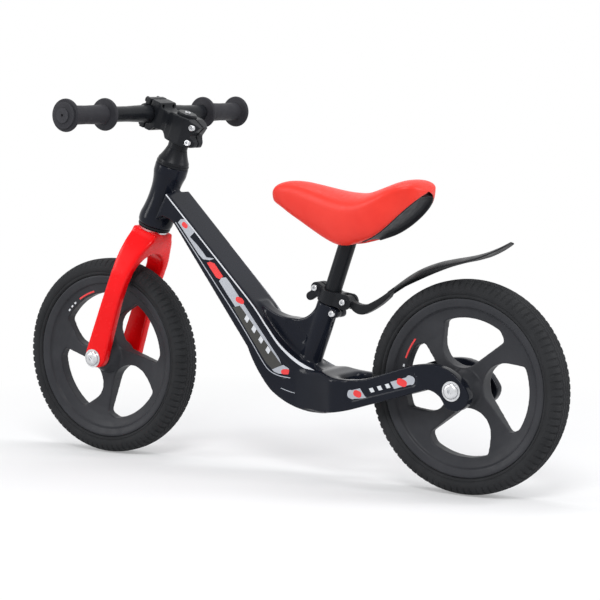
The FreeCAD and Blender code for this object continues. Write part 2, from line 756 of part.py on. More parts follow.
FORK_SIDE = [
    ("-14.5", "4", "fork_offset - 1", "-13.5"),
    ("-10", "crown_seat - 122"),
    ("-12", "crown_seat - 68", "-9.6", "crown_seat - 94"),
    ("-17", "crown_seat - 30"),
    ("-crown_half", "crown_seat - 12"),
    ("-crown_half", "crown_seat"),
    ("crown_half", "crown_seat"),
    ("crown_half", "crown_seat - 14"),
    ("19", "crown_seat - 66"),
    ("21", "crown_seat - 122"),
    ("22.5", "4"),
]

FORK_FRONT = [
    ("-arm_half", "-20"),
    ("-gap_half", "-20"),
    ("-gap_half", "crown_seat - 70"),
    ("gap_half", "crown_seat - 70", "0", "crown_seat - 34"),
    ("gap_half", "-20"),
    ("arm_half", "-20"),
    ("arm_half", "crown_seat - 74"),
    ("crown_half + 1", "crown_seat - 8", "arm_half - 7.5", "crown_seat - 38"),
    ("crown_half", "crown_seat"),
    ("-crown_half", "crown_seat"),
    ("-crown_half - 1", "crown_seat - 8"),
    ("-arm_half", "crown_seat - 74", "7.5 - arm_half", "crown_seat - 38"),
]


def fork():
    side = plate("fork_side", FORK_SIDE, "2 * arm_half + 10", steering())
    front = plate("fork_front", FORK_FRONT, "200", steering(), "YZ_Plane")
    shape = common("fork_blank", [side, front])
    keep(cut("fork", shape, [
        cylinder("fork_steerer_hole", "steerer_radius + running_gap", "2 * steerer_sink",
                 steering(0, 0, size("crown_seat"))),
        cylinder("front_axle_hole", "axle_radius + slip_gap", "2 * arm_half + 20", front_axle()),
    ]))


# ---------------------------------------------------------------- stem and handlebar

def small_bolt(label, length, placement):
    """A socket screw: its head's seat is at the placement and its shank runs down from there."""
    blank = turned(f"{label}_blank", [
        ("0", f"-({length})"),
        ("small_bolt_radius", f"-({length})"),
        ("small_bolt_radius", "0"),
        ("small_head_radius", "0"),
        ("small_head_radius", "small_head_height - 0.6"),
        ("small_head_radius - 0.6", "small_head_height"),
        ("0", "small_head_height"),
    ], placement)
    depth = Placement(Vector(0, 0, size("0.4 * small_head_height")), Rotation())
    return cut(label, blank, [prism(f"{label}_key", "0.55 * small_head_radius", "small_head_height",
                                    placement.multiply(depth))])


STEM_SIDE = [
    ("-15", STEM),
    ("4 - stem_tail", f"{STEM} + 2.5"),
    ("5 - stem_tail", f"{STEM} + 15", "1 - stem_tail", f"{STEM} + 9"),
    ("9 - stem_tail", f"{STEM} + 19"),
    ("4 - stem_tail", f"{STEM_TOP} - 14"),
    ("-stem_tail", f"{STEM_TOP} - 6.5"),
    ("-17", STEM_TOP),
    ("15", STEM_TOP),
    ("22", f"{STEM_TOP} - 4"),
    ("stem_reach - 20", f"{BAR} + clamp_ear - 6.5"),
    ("stem_reach - 17", f"{BAR} + clamp_ear"),
    ("stem_reach - clamp_gap / 2", f"{BAR} + clamp_ear"),
    ("stem_reach - clamp_gap / 2", f"{BAR} - clamp_ear"),
    ("stem_reach - 10", f"{BAR} - clamp_ear"),
    ("stem_reach - 16", f"{BAR} - clamp_ear + 7"),
    ("24", f"{BAR} - clamp_ear + 7.5"),
    ("17", f"{STEM} + 1.5"),
    ("15", STEM),
]

# One side of the stem seen from above, from the tail to the clamp.
STEM_PLAN_HALF = [
    ("-stem_tail - 1", "9"),
    ("-24", "stem_half_width - 2"),
    ("-11", "stem_half_width"),
    ("9", "stem_half_width"),
    ("20", "stem_half_width - 4"),
    ("30", "stem_half_width - 4"),
    ("stem_reach - 18", "stem_half_width"),
    ("stem_reach", "stem_half_width"),
]

FACEPLATE = [
    ("stem_reach + clamp_gap / 2", f"{BAR} - clamp_ear"),
    ("stem_reach + faceplate_depth", f"{BAR} - clamp_ear"),
    ("stem_reach + faceplate_depth", f"{BAR} - 12.9"),
    ("stem_reach + faceplate_depth", f"{BAR} + 12.9", "stem_reach + bar_clamp_radius + clamp_wall + 1", BAR),
    ("stem_reach + faceplate_depth", f"{BAR} + clamp_ear"),
    ("stem_reach + clamp_gap / 2", f"{BAR} + clamp_ear"),
]


def stem():
    plan = STEM_PLAN_HALF + [(x, f"-({y})") for x, y in reversed(STEM_PLAN_HALF)]
    side = common("stem_blank", [
        plate("stem_side", STEM_SIDE, "2 * stem_half_width + 4", steering()),
        plate("stem_plan", plan, "1000", steering(), "XY_Plane"),
    ])
    bore = cylinder("stem_steerer_bore", "steerer_radius + running_gap", "2 * stem_height",
                    steering(0, 0, size(STEM)))
    bar_bore = cylinder("stem_bar_bore", "bar_clamp_radius + running_gap", "3 * stem_half_width",
                        steering(size("stem_reach"), 0, size(BAR), TO_RIGHT))
    slit = block("stem_slit", ("stem_tail + 4", "pinch_slit", "2 * stem_height"),
                 steering(-size("stem_tail + 4") / 2, 0, size(STEM)))
    tools = [bore, bar_bore, slit]
    pinch = []
    for number, share in enumerate((0.22, 0.77), start=1):
        height = size(f"{STEM} + {share} * stem_height")
        seat = size("stem_half_width - small_head_height + 0.4")
        head = steering(-size("pinch_setback"), seat, height, TO_LEFT)
        tools.append(cylinder(f"pinch_hole_{number}", "small_bolt_radius + slip_gap", "3 * stem_half_width",
                              steering(-size("pinch_setback"), 0, height, TO_RIGHT)))
        tools.append(cylinder(f"pinch_seat_{number}", "small_head_radius + slip_gap", "2 * small_head_height",
                              head.multiply(Placement(Vector(0, 0, size("small_head_height")), Rotation()))))
        pinch.append(small_bolt(f"pinch_bolt_{number}", "1.7 * stem_half_width", head))
    face = plate("faceplate_blank", FACEPLATE, "2 * stem_half_width", steering())
    face_tools = [cylinder("faceplate_bore", "bar_clamp_radius + running_gap", "3 * stem_half_width",
                           steering(size("stem_reach"), 0, size(BAR), TO_RIGHT))]
    clamp_bolts = []
    for row in (1, -1):
        for column in (1, -1):
            mark = f"{'upper' if row > 0 else 'lower'}_{'left' if column > 0 else 'right'}"
            spot = (column * size("clamp_bolt_spread"), size(f"{BAR} + {row} * clamp_bolt_row"))
            for tool_list, name in ((tools, "stem"), (face_tools, "faceplate")):
                tool_list.append(cylinder(f"{name}_hole_{mark}", "small_bolt_radius + slip_gap", "40",
                                          steering(size("stem_reach"), *spot, TO_FRONT)))
            clamp_bolts.append(small_bolt(f"faceplate_bolt_{mark}", "16",
                                          steering(size("stem_reach + faceplate_depth"), *spot, TO_FRONT)))
    keep(cut("stem", side, tools))
    keep(cut("stem_faceplate", face, face_tools))
    keep(group("stem_pinch_bolts", pinch))
    keep(group("faceplate_bolts", clamp_bolts))
    keep(turned("top_cap", [
        ("small_bolt_radius + slip_gap", f"{STEM_TOP} + 0.05"),
        ("collar_radius", f"{STEM_TOP} + 0.05"),
        ("collar_radius", f"{STEM_TOP} + 2.4"),
        ("collar_radius - 1.6", f"{STEM_TOP} + 4"),
        ("small_head_radius + slip_gap", f"{STEM_TOP} + 4"),
        ("small_head_radius + slip_gap", f"{STEM_TOP} + 1"),
        ("small_bolt_radius + slip_gap", f"{STEM_TOP} + 1"),
    ], steering()))
    keep(small_bolt("top_cap_bolt", "26", steering(0, 0, size(f"{STEM_TOP} + 1"))))
    keep(turned("star_nut", [
        ("small_bolt_radius + slip_gap", f"{STEM_TOP} - 25"),
        ("steerer_radius - steerer_wall - slip_gap", f"{STEM_TOP} - 21"),
        ("steerer_radius - steerer_wall - slip_gap", f"{STEM_TOP} - 19.5"),
        ("small_bolt_radius + 2", f"{STEM_TOP} - 20.5"),
        ("small_bolt_radius + 2", f"{STEM_TOP} - 14"),
        ("small_bolt_radius + slip_gap", f"{STEM_TOP} - 14"),
    ], steering()))


def handlebar():
    place = steering(size("stem_reach"), 0, size(BAR), TO_RIGHT)
    half = [
        ("bar_bore_radius", "bar_half_length"),
        ("bar_radius", "bar_half_length"),
        ("bar_radius", "bar_bulge_half + bar_taper"),
        ("bar_clamp_radius", "bar_bulge_half"),
    ]
    profile = [(radius, f"-({height})") for radius, height in half]
    profile += [(radius, height) for radius, height in reversed(half)]
    keep(turned("handlebar", profile, place))
    bore = "bar_radius + running_gap"
    grip = [
        (bore, "grip_inner - flange_half - 1.5"),
        ("grip_radius", "grip_inner - flange_half - 1.5"),
        ("flange_radius - 1", "grip_inner - flange_half"),
        ("flange_radius - 1", "grip_inner + flange_half", "flange_radius + 0.6", "grip_inner"),
        ("grip_radius + 0.4", "grip_inner + flange_half + 2"),
        ("grip_radius - 0.6", "(grip_inner + grip_outer) / 2"),
        ("grip_radius", "grip_outer - flange_half - 3"),
        ("flange_radius - 1", "grip_outer - flange_half"),
        ("flange_radius - 1", "grip_outer + flange_half", "flange_radius + 0.6", "grip_outer"),
        ("flange_radius - 3.6", "grip_outer + flange_half + 0.2"),
        ("flange_radius - 4.2", "grip_end - 2.4"),
        ("11", "grip_end - 1.6"),
        ("10.4", "grip_end"),
        ("1.8", "grip_end"),
        ("1.8", "grip_end - 4"),
        ("0", "grip_end - 4"),
        ("0", "bar_half_length + 0.2"),
        (bore, "bar_half_length + 0.2"),
    ]
    for name, turn in (("left", TO_LEFT), ("right", TO_RIGHT)):
        keep(turned(f"{name}_grip", grip, steering(size("stem_reach"), 0, size(BAR), turn)))


# ---------------------------------------------------------------- saddle

SADDLE_SIDE = [
    by_tyre_top(7, 94, 11.4, 102),
    by_tyre_top(-108, 37.5),
    by_tyre_top(-128, 39.5, -119, 37.4),
    by_tyre_top(-172, 53),
    by_tyre_top(-228, 102, -203, 74),
    by_tyre_top(-239, 112, -235, 106),
    by_tyre_top(-212, 130.5, -232, 124.5),
    by_tyre_top(-130, 109.5, -171, 117),
    by_tyre_top(-28, 123.5, -80, 115),
    by_tyre_top(8, 110, -6, 120),
]

SADDLE_PLAN = [
    ("0", "-saddle_nose_half", "12", "0"),
    ("-100", "-0.62 * saddle_half", "-48", "-saddle_nose_half - 3"),
    ("-188", "-saddle_half", "-148", "-0.93 * saddle_half"),
    ("-240", "-14", "-226", "-0.72 * saddle_half"),
    ("-240", "14"),
    ("-188", "saddle_half", "-226", "0.72 * saddle_half"),
    ("-100", "0.62 * saddle_half", "-148", "0.93 * saddle_half"),
    ("0", "saddle_nose_half", "-48", "saddle_nose_half + 3"),
]

SADDLE_FRONT = [
    ("-16", "2 * wheel_radius + 34", "-0.7 * saddle_half", "2 * wheel_radius + 60"),
    ("16", "2 * wheel_radius + 34"),
    ("saddle_half - 1", "2 * wheel_radius + 94", "0.7 * saddle_half", "2 * wheel_radius + 60"),
    ("saddle_half - 10", "2 * wheel_radius + 134", "saddle_half + 0.5", "2 * wheel_radius + 114"),
    ("10 - saddle_half", "2 * wheel_radius + 134"),
    ("1 - saddle_half", "2 * wheel_radius + 94", "-saddle_half - 0.5", "2 * wheel_radius + 114"),
]

SHELL_SIDE = [
    by_tyre_top(-62, 64),
    by_tyre_top(-106, 41),
    by_tyre_top(-127, 42.5),
    by_tyre_top(-168, 56),
    by_tyre_top(-222, 104, -199, 78),
    by_tyre_top(-214, 111),
    by_tyre_top(-150, 88),
    by_tyre_top(-80, 88),
]

# The cushion is open behind and below the shell's rear face.
BEHIND_SHELL = [
    by_tyre_top(-172, 40),
    by_tyre_top(-250, 95),
]


def saddle():
    outer = common("saddle_outer", [
        plate("saddle_side", SADDLE_SIDE, "3 * saddle_half", Placement()),
        plate("saddle_plan", SADDLE_PLAN, "1000", Placement(), "XY_Plane"),
        plate("saddle_front", SADDLE_FRONT, "1000", Placement(), "YZ_Plane"),
    ])
    shell = plate("shell_side", SHELL_SIDE, "2 * (saddle_half - 18)", Placement())
    post_line = cylinder("saddle_post_hole", "post_radius + running_gap", "post_top + 90",
                         saddle_line(0, 0, size("post_top + 0.5 - (post_top + 90) / 2")))
    recess = plate("saddle_recess", SHELL_SIDE[:4] + BEHIND_SHELL + SHELL_SIDE[5:],
                   "2 * (saddle_half - 18 + saddle_gap)", Placement())
    bolt_place = saddle_line(0, 0, size("post_top - 10"), TO_RIGHT)
    bolt_hole = cylinder("saddle_bolt_hole", "small_bolt_radius + slip_gap", "3 * saddle_half", bolt_place)
    keep(cut("saddle_shell", shell, [post_line, bolt_hole]))
    post_clearance = cylinder("cushion_post_hole", "post_radius + saddle_gap", "post_top + 90",
                              saddle_line(0, 0, size("post_top + 0.5 - (post_top + 90) / 2")))
    keep(cut("saddle_cushion", outer, [recess, post_clearance]))
    tube = turned("post_tube", ring_profile("post_radius - post_wall", "post_radius", "post_bottom", "post_top"),
                  saddle_line())
    keep(cut("seat_post", tube, [cylinder("post_bolt_hole", "small_bolt_radius + slip_gap",
                                          "4 * post_radius", bolt_place)]))
    keep(turned("seat_post_plug", [
        ("0", "post_bottom - 1.5"),
        ("post_radius - 0.5", "post_bottom - 1.5"),
        ("post_radius - 0.2", "post_bottom - 0.05"),
        ("post_radius - post_wall - slip_gap", "post_bottom - 0.05"),
        ("post_radius - post_wall - slip_gap", "post_bottom + 8"),
        ("0", "post_bottom + 8"),
    ], saddle_line()))
    keep(cylinder("saddle_bolt", "small_bolt_radius", "2 * (saddle_half - 18) - 20", bolt_place))


# ---------------------------------------------------------------- collar, lever and mudguard

def lug(label, reach, lift, radius, root):
    """A round-ended lug of the collar, from its ring out to a bolt."""
    side = "1" if size(reach) > 0 else "-1"
    return plate(label, [
        (f"{side} * {root}", "collar_lift"),
        (reach, f"{lift} - {radius}"),
        (reach, f"{lift} + {radius}", f"{reach} + {side} * {radius}", lift),
        (f"{side} * {root}", "collar_lift + collar_height"),
    ], "2 * ear_half", saddle_line())


def collar():
    ring = turned("collar_ring", ring_profile("1", "post_radius + collar_wall", "collar_lift",
                                              "collar_lift + collar_height"), saddle_line())
    front = lug("collar_front_lug", "front_ear_reach", "front_ear_lift", "ear_radius", "6")
    rear = lug("collar_rear_lug", "-pivot_reach", "pivot_lift", "pivot_ear_radius", "6")
    pivot = saddle_line(-size("pivot_reach"), 0, size("pivot_lift"), TO_RIGHT)
    skewer = saddle_line(size("front_ear_reach"), 0, size("front_ear_lift"), TO_RIGHT)
    keep(cut("post_collar", fused("collar_blank", [ring, front, rear]), [
        cylinder("collar_bore", "post_radius + slip_gap", "200", saddle_line()),
        block("collar_front_slit", ("2 * ear_radius + front_ear_reach", "collar_slit", "100"),
              saddle_line(size("ear_radius + front_ear_reach / 2"), 0, 0)),
        cylinder("collar_hinge_slot", "pivot_ear_radius + 0.8", "2 * (hinge_half + hinge_gap)", pivot),
        cylinder("collar_pivot_hole", "small_bolt_radius + running_gap", "60", pivot),
        cylinder("collar_skewer_hole", "small_bolt_radius + slip_gap", "60", skewer),
    ]))
    for label, reach, lift, drop in (("clamp_skewer", "front_ear_reach", "front_ear_lift", "ear_half + hinge_gap + 0.1"),
                                     ("mudguard_pivot_bolt", "-pivot_reach", "pivot_lift", "ear_half - 0.5")):
        head = saddle_line(size(reach), size("ear_half + 0.05"), size(lift), TO_LEFT)
        keep(small_bolt(label, f"ear_half + {drop}", head))
    binder_half = "seat_tube_radius - 2"
    keep(small_bolt("binder_bolt", f"2 * ({binder_half})",
                    saddle_line(-size("seat_tube_radius + binder_setback"), size(f"{binder_half} + 0.05"),
                                -size("binder_drop"), TO_LEFT)))


def clamp_lever():
    lean = Rotation(Vector(0, 1, 0), size("lever_lean"))
    place = saddle_line(size("front_ear_reach"), -size("ear_half + lever_half + hinge_gap + 0.2"),
                        size("front_ear_lift"), lean)
    arm = plate("lever_arm", [
        ("-lever_width / 2", "0"),
        ("-lever_width / 2", "-lever_length"),
        ("lever_width / 2", "-lever_length", "0", "-lever_length - lever_width / 2"),
        ("lever_width / 2", "0"),
    ], "2 * lever_half", place)
    rounded(arm, "1.5", lambda edge: on_faces(size("lever_half"))(edge) and edge.BoundBox.ZMax < -1)
    hub = cylinder("lever_hub", "lever_half", "lever_width", place.multiply(Placement(Vector(), TO_FRONT)))
    keep(fused("clamp_lever", [arm, hub]))


GUARD_SIDE = [
    by_tyre_top(-150, -38),
    by_tyre_top(-143, -47),
    by_tyre_top(-206, -4.5, -174, -27.5),
    by_tyre_top(-300, 26.8, -250, 16.5),
    by_tyre_top(-364, 50, -332, 35),
    by_tyre_top(-363, 53),
    by_tyre_top(-300, 30.7, -332, 38.5),
    by_tyre_top(-201, -2.4, -249, 19.3),
]

GUARD_PLAN = [
    ("-143", "-neck_radius"),
    ("-196", "-neck_radius - 1.5"),
    ("-240", "-guard_half", "-212", "-0.62 * guard_half"),
    ("-320", "0.08 * guard_half - guard_half", "-280", "-guard_half"),
    ("-366", "-9", "-345", "-0.76 * guard_half"),
    ("-366", "9"),
    ("-320", "guard_half - 0.08 * guard_half", "-345", "0.76 * guard_half"),
    ("-240", "guard_half", "-280", "guard_half"),
    ("-196", "neck_radius + 1.5", "-212", "0.62 * guard_half"),
    ("-143", "neck_radius"),
]


GUARD_ARM = [
    by_tyre_top(-117, -46),
    by_tyre_top(-140, -57, -128, -56),
    by_tyre_top(-180, -31, -160, -46.5),
    by_tyre_top(-187, -17),
    by_tyre_top(-148, -41.5, -166, -32),
    by_tyre_top(-115, -34, -131, -43),
]

# Cut from the blade where the arm's flat end meets it.
GUARD_SOCKET = [
    by_tyre_top(-130, -66),
    by_tyre_top(-179.8, -31.6),
    by_tyre_top(-187.6, -16),
    by_tyre_top(-130, -28),
]


def mudguard():
    pivot = saddle_line(-size("pivot_reach"), 0, size("pivot_lift"), TO_RIGHT)
    hub = cylinder("guard_hub", "hinge_radius", "2 * hinge_half", pivot)
    arm = plate("guard_arm", GUARD_ARM, "2 * neck_radius", Placement())
    keep(cut("mudguard_arm", fused("guard_arm_blank", [hub, arm]),
             [cylinder("guard_pivot_hole", "small_bolt_radius + running_gap", "60", pivot)]))
    blade = common("guard_blade_whole", [
        plate("guard_side", GUARD_SIDE, "3 * guard_half", Placement()),
        plate("guard_plan", GUARD_PLAN, "1000", Placement(), "XY_Plane"),
    ])
    keep(cut("mudguard", blade, [plate("guard_socket", GUARD_SOCKET, "60", Placement())]))


# ---------------------------------------------------------------- assembly

def check_document():
    for item in DOC.Objects:
        if "Invalid" in item.State or "Error" in item.State:
            raise RuntimeError(f"{item.Label} failed: {item.State}")
    for node in NODES:
        if node.Shape.isNull() or not node.Shape.isValid():
            raise RuntimeError(f"{node.Label} has a bad shape")


def main():
    fill_sheet()
    main_frame()
    wheel_pieces("rear", rear_axle, 0)
    collar()
    clamp_lever()
    mudguard()
    headset()
    fork()
    stem()
    handlebar()
    wheel_pieces("front", front_axle, size("front_spoke_turn"))
    saddle()
    DOC.recompute()
    check_document()
    os.makedirs("parts", exist_ok=True)
    for node in NODES:
        node.Shape.exportStep(f"parts/{node.Label}.step")


main()
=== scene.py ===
import json
import math

import bmesh
import bpy
import numpy as np
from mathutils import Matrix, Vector

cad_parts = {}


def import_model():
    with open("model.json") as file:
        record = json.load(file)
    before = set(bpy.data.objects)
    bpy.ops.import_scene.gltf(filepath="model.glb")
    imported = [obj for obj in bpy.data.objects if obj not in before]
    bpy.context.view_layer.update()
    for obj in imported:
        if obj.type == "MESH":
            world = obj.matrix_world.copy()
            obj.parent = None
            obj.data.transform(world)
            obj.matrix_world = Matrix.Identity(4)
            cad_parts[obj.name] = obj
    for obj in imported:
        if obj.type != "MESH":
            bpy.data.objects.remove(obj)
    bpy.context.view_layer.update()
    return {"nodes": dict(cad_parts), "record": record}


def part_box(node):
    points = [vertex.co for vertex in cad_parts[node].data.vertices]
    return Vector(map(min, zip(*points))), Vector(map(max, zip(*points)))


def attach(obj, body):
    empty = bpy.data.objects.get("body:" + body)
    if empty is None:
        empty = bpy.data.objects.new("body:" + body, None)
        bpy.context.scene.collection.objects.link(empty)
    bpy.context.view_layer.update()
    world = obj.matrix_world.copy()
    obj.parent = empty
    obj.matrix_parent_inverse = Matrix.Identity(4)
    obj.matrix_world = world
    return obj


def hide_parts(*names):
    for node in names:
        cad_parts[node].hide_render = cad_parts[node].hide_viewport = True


# A child's balance bike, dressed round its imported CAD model. Metres. +X is forwards, +Y the
# rider's left, +Z up, and the origin lies on the ground half-way between the axles.

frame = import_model()
MM = 0.001


# ---------------------------------------------------------------- materials

def material(name, colour, roughness, metallic=0.0, coat=0.0, sheen=0.0, specular=0.5):
    """A Principled material, its node tree and its shader."""
    made = bpy.data.materials.new(name)
    made.use_nodes = True
    shader = made.node_tree.nodes["Principled BSDF"]
    shader.inputs["Base Color"].default_value = (*colour, 1)
    shader.inputs["Roughness"].default_value = roughness
    shader.inputs["Metallic"].default_value = metallic
    shader.inputs["Coat Weight"].default_value = coat
    shader.inputs["Coat Roughness"].default_value = 0.04
    shader.inputs["Sheen Weight"].default_value = sheen
    shader.inputs["Specular IOR Level"].default_value = specular
    return made, made.node_tree, shader


def object_space(tree):
    return tree.nodes.new("ShaderNodeTexCoord").outputs["Object"]


def noise(tree, scale, detail=4.0, roughness=0.55):
    node = tree.nodes.new("ShaderNodeTexNoise")
    node.inputs["Scale"].default_value = scale
    node.inputs["Detail"].default_value = detail
    node.inputs["Roughness"].default_value = roughness
    tree.links.new(object_space(tree), node.inputs["Vector"])
    return node.outputs["Fac"]


def cells(tree, scale, feature="F1"):
    node = tree.nodes.new("ShaderNodeTexVoronoi")
    node.feature = feature
    node.inputs["Scale"].default_value = scale
    tree.links.new(object_space(tree), node.inputs["Vector"])
    return node.outputs["Distance"]


def spread(tree, value, low, high, start=0.3, stop=0.7):
    """Map a texture's value between two amounts."""
    node = tree.nodes.new("ShaderNodeMapRange")
    node.inputs["From Min"].default_value = start
    node.inputs["From Max"].default_value = stop
    node.inputs["To Min"].default_value = low
    node.inputs["To Max"].default_value = high
    tree.links.new(value, node.inputs["Value"])
    return node.outputs["Result"]


def blend_colours(tree, value, first, second, start=0.3, stop=0.7):
    node = tree.nodes.new("ShaderNodeMix")
    node.data_type = "RGBA"
    node.inputs["A"].default_value = (*first, 1)
    node.inputs["B"].default_value = (*second, 1)
    tree.links.new(spread(tree, value, 0, 1, start, stop), node.inputs["Factor"])
    return node.outputs["Result"]


def bump(tree, shader, height, distance, strength=1.0, below=None):
    node = tree.nodes.new("ShaderNodeBump")
    node.inputs["Distance"].default_value = distance
    node.inputs["Strength"].default_value = strength
    tree.links.new(height, node.inputs["Height"])
    if below:
        tree.links.new(below.outputs["Normal"], node.inputs["Normal"])
    tree.links.new(node.outputs["Normal"], shader.inputs["Normal"])
    return node


def worn(tree, shader, colour, rubbed, amount=0.35):
    """Lighten the sharpest edges, where a finish rubs thin."""
    geometry = tree.nodes.new("ShaderNodeNewGeometry")
    edges = spread(tree, geometry.outputs["Pointiness"], 0, amount, 0.53, 0.60)
    node = tree.nodes.new("ShaderNodeMix")
    node.data_type = "RGBA"
    tree.links.new(edges, node.inputs["Factor"])
    tree.links.new(colour, node.inputs["A"])
    node.inputs["B"].default_value = (*rubbed, 1)
    tree.links.new(node.outputs["Result"], shader.inputs["Base Color"])


def paint(name, deep, light, roughness, coat, specular=0.5):
    """Sprayed paint: slow colour drift, orange peel and a few dust specks."""
    made, tree, shader = material(name, deep, roughness, coat=coat, specular=specular)
    tree.links.new(blend_colours(tree, noise(tree, 9, 3), deep, light), shader.inputs["Base Color"])
    tree.links.new(spread(tree, noise(tree, 60, 5), roughness * 0.8, roughness * 1.3),
                   shader.inputs["Roughness"])
    peel = bump(tree, shader, noise(tree, 420, 2), 0.00006, 0.5)
    bump(tree, shader, noise(tree, 2600, 1), 0.000012, 0.4, peel)
    return made


def moulded(name, deep, light, roughness, grain_scale, grain_depth, sheen=0.0, specular=0.5):
    """Moulded plastic, foam or rubber: fine grain, colour drift and uneven gloss."""
    made, tree, shader = material(name, deep, roughness, sheen=sheen, specular=specular)
    drift = blend_colours(tree, noise(tree, 14, 5, 0.65), deep, light)
    rubbed = tuple(min(1.0, 1.7 * part + 0.02) for part in light)
    worn(tree, shader, drift, rubbed)
    tree.links.new(spread(tree, noise(tree, 90, 6), roughness - 0.08, roughness + 0.08),
                   shader.inputs["Roughness"])
    pores = bump(tree, shader, cells(tree, grain_scale), grain_depth, 0.6)
    bump(tree, shader, noise(tree, grain_scale * 0.35, 5), grain_depth * 1.5, 0.5, pores)
    return made


def metal(name, colour, roughness):
    """Plated steel with fine turning marks and smudges."""
    made, tree, shader = material(name, colour, roughness, metallic=1.0)
    dull = tuple(0.72 * part for part in colour)
    tree.links.new(blend_colours(tree, noise(tree, 140, 6), dull, colour), shader.inputs["Base Color"])
    tree.links.new(spread(tree, noise(tree, 260, 6), roughness * 0.7, roughness * 1.5),
                   shader.inputs["Roughness"])
    marks = tree.nodes.new("ShaderNodeTexWave")
    marks.wave_type = "RINGS"
    marks.inputs["Scale"].default_value = 900
    marks.inputs["Distortion"].default_value = 2
    tree.links.new(object_space(tree), marks.inputs["Vector"])
    bump(tree, shader, marks.outputs["Fac"], 0.00002, 0.25)
    return made


def skin(name, deep, light):
    """Grained synthetic leather over foam."""
    made, tree, shader = material(name, deep, 0.4, sheen=0.0, specular=0.3)
    shader.inputs["Sheen Roughness"].default_value = 0.4
    tree.links.new(blend_colours(tree, noise(tree, 18, 5), deep, light), shader.inputs["Base Color"])
    tree.links.new(spread(tree, noise(tree, 210, 5), 0.34, 0.46), shader.inputs["Roughness"])
    grain = bump(tree, shader, cells(tree, 1500, "SMOOTH_F1"), 0.00016, 0.55)
    creases = bump(tree, shader, noise(tree, 520, 6, 0.6), 0.00012, 0.45, grain)
    bump(tree, shader, noise(tree, 30, 3), 0.0006, 0.35, creases)
    return made


BLACK = paint("frame_gloss_black", (0.0065, 0.0080, 0.0135), (0.0100, 0.0120, 0.0190), 0.16, 0.0, 0.13)
RED = paint("fork_gloss_red", (0.78, 0.0005, 0.002), (0.93, 0.003, 0.006), 0.24, 0.0, 0.20)
COVER = skin("saddle_skin", (0.78, 0.026, 0.014), (0.84, 0.038, 0.022))
UNDERSIDE = moulded("saddle_underside", (0.010, 0.011, 0.014), (0.018, 0.019, 0.023), 0.5, 900, 0.00008,
                    0.0, 0.2)
EDGING = moulded("saddle_edging", (0.10, 0.105, 0.115), (0.16, 0.165, 0.175), 0.45, 900, 0.00006, 0.0, 0.3)
FOAM = moulded("tyre_foam", (0.020, 0.0205, 0.022), (0.031, 0.032, 0.034), 0.72, 1300, 0.00016, 0.0, 0.10)
WHEEL = moulded("wheel_plastic", (0.030, 0.031, 0.035), (0.043, 0.044, 0.049), 0.40, 1100, 0.00007, 0.0, 0.12)
STEEL = metal("bolt_steel", (0.74, 0.75, 0.77), 0.24)
SATIN = paint("satin_black", (0.0080, 0.0090, 0.0110), (0.0140, 0.0150, 0.0180), 0.30, 0.0, 0.13)
RUBBER = moulded("grip_rubber", (0.022, 0.022, 0.026), (0.034, 0.034, 0.039), 0.55, 1000, 0.00012, 0.0, 0.12)
GUARD = moulded("mudguard_plastic", (0.008, 0.0085, 0.010), (0.015, 0.016, 0.018), 0.38, 1200, 0.00006,
                0.0, 0.14)
SILVER_INK = paint("silver_decal", (0.36, 0.38, 0.42), (0.46, 0.48, 0.52), 0.30, 0.4)
# Pale print colour. The same material also paints the highlight along the beam's upper edge.
PALE_INK_AND_HIGHLIGHT = paint("pale_decal_and_highlight", (0.62, 0.64, 0.67), (0.74, 0.76, 0.79), 0.32, 0.4)
RED_INK = paint("red_decal", (0.74, 0.014, 0.016), (0.84, 0.026, 0.026), 0.30, 0.4)
DARK_INK = paint("dark_decal", (0.018, 0.018, 0.015), (0.030, 0.029, 0.025), 0.40, 0.2)


# ---------------------------------------------------------------- mesh helpers

def add_object(name, mesh, finish, body):
    piece = bpy.data.objects.new(name, mesh)
    bpy.context.scene.collection.objects.link(piece)
    mesh.materials.clear()
    finishes = finish if isinstance(finish, list) else [finish]
    for one in finishes:
        mesh.materials.append(one)
    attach(piece, body)
    return piece


def mesh_from(name, vertices, faces, smooth=True, marks=None):
    mesh = bpy.data.meshes.new(name)
    mesh.from_pydata([tuple(point) for point in vertices], [], faces)
    mesh.validate()
    for number, face in enumerate(mesh.polygons):
        face.use_smooth = smooth
        if marks is not None:
            face.material_index = marks[number]
    solid = bmesh.new()
    solid.from_mesh(mesh)
    bmesh.ops.recalc_face_normals(solid, faces=solid.faces)
    solid.to_mesh(mesh)
    solid.free()
    return mesh


def grid_faces(rows, columns, wrap_rows=False, wrap_columns=True):
    """Quads over a grid of points stored row by row."""
    faces = []
    for row in range(rows if wrap_rows else rows - 1):
        below = (row + 1) % rows
        for column in range(columns if wrap_columns else columns - 1):
            beside = (column + 1) % columns
            faces.append((row * columns + column, row * columns + beside,
                          below * columns + beside, below * columns + column))
    return faces


def finished(piece, modifiers):
    """Apply modifiers, given as (kind, settings), and keep the result as the piece's mesh."""
    for kind, settings in modifiers:
        modifier = piece.modifiers.new(kind.lower(), kind)
        for key, value in settings.items():
            setattr(modifier, key, value)
    graph = bpy.context.evaluated_depsgraph_get()
    result = bpy.data.meshes.new_from_object(piece.evaluated_get(graph))
    piece.modifiers.clear()
    piece.data = result
    return piece


def smooth_curve(points, steps=10):
    """A Catmull-Rom curve through points of any dimension."""
    points = np.asarray(points, float)
    padded = np.vstack([2 * points[0] - points[1], points, 2 * points[-1] - points[-2]])
    curve = []
    for number in range(1, len(padded) - 2):
        before, start, end, after = padded[number - 1:number + 3]
        for share in np.linspace(0, 1, steps, endpoint=False):
            curve.append(0.5 * (2 * start + (end - before) * share
                                + (2 * before - 5 * start + 4 * end - after) * share ** 2
                                + (3 * start - before - 3 * end + after) * share ** 3))
    curve.append(points[-1])
    return np.array(curve)


def body_of_node(node):
    for body, names in frame["record"]["behaviour"]["bodies"].items():
        if node in names:
            return body
    raise KeyError(node)


# ---------------------------------------------------------------- cast parts

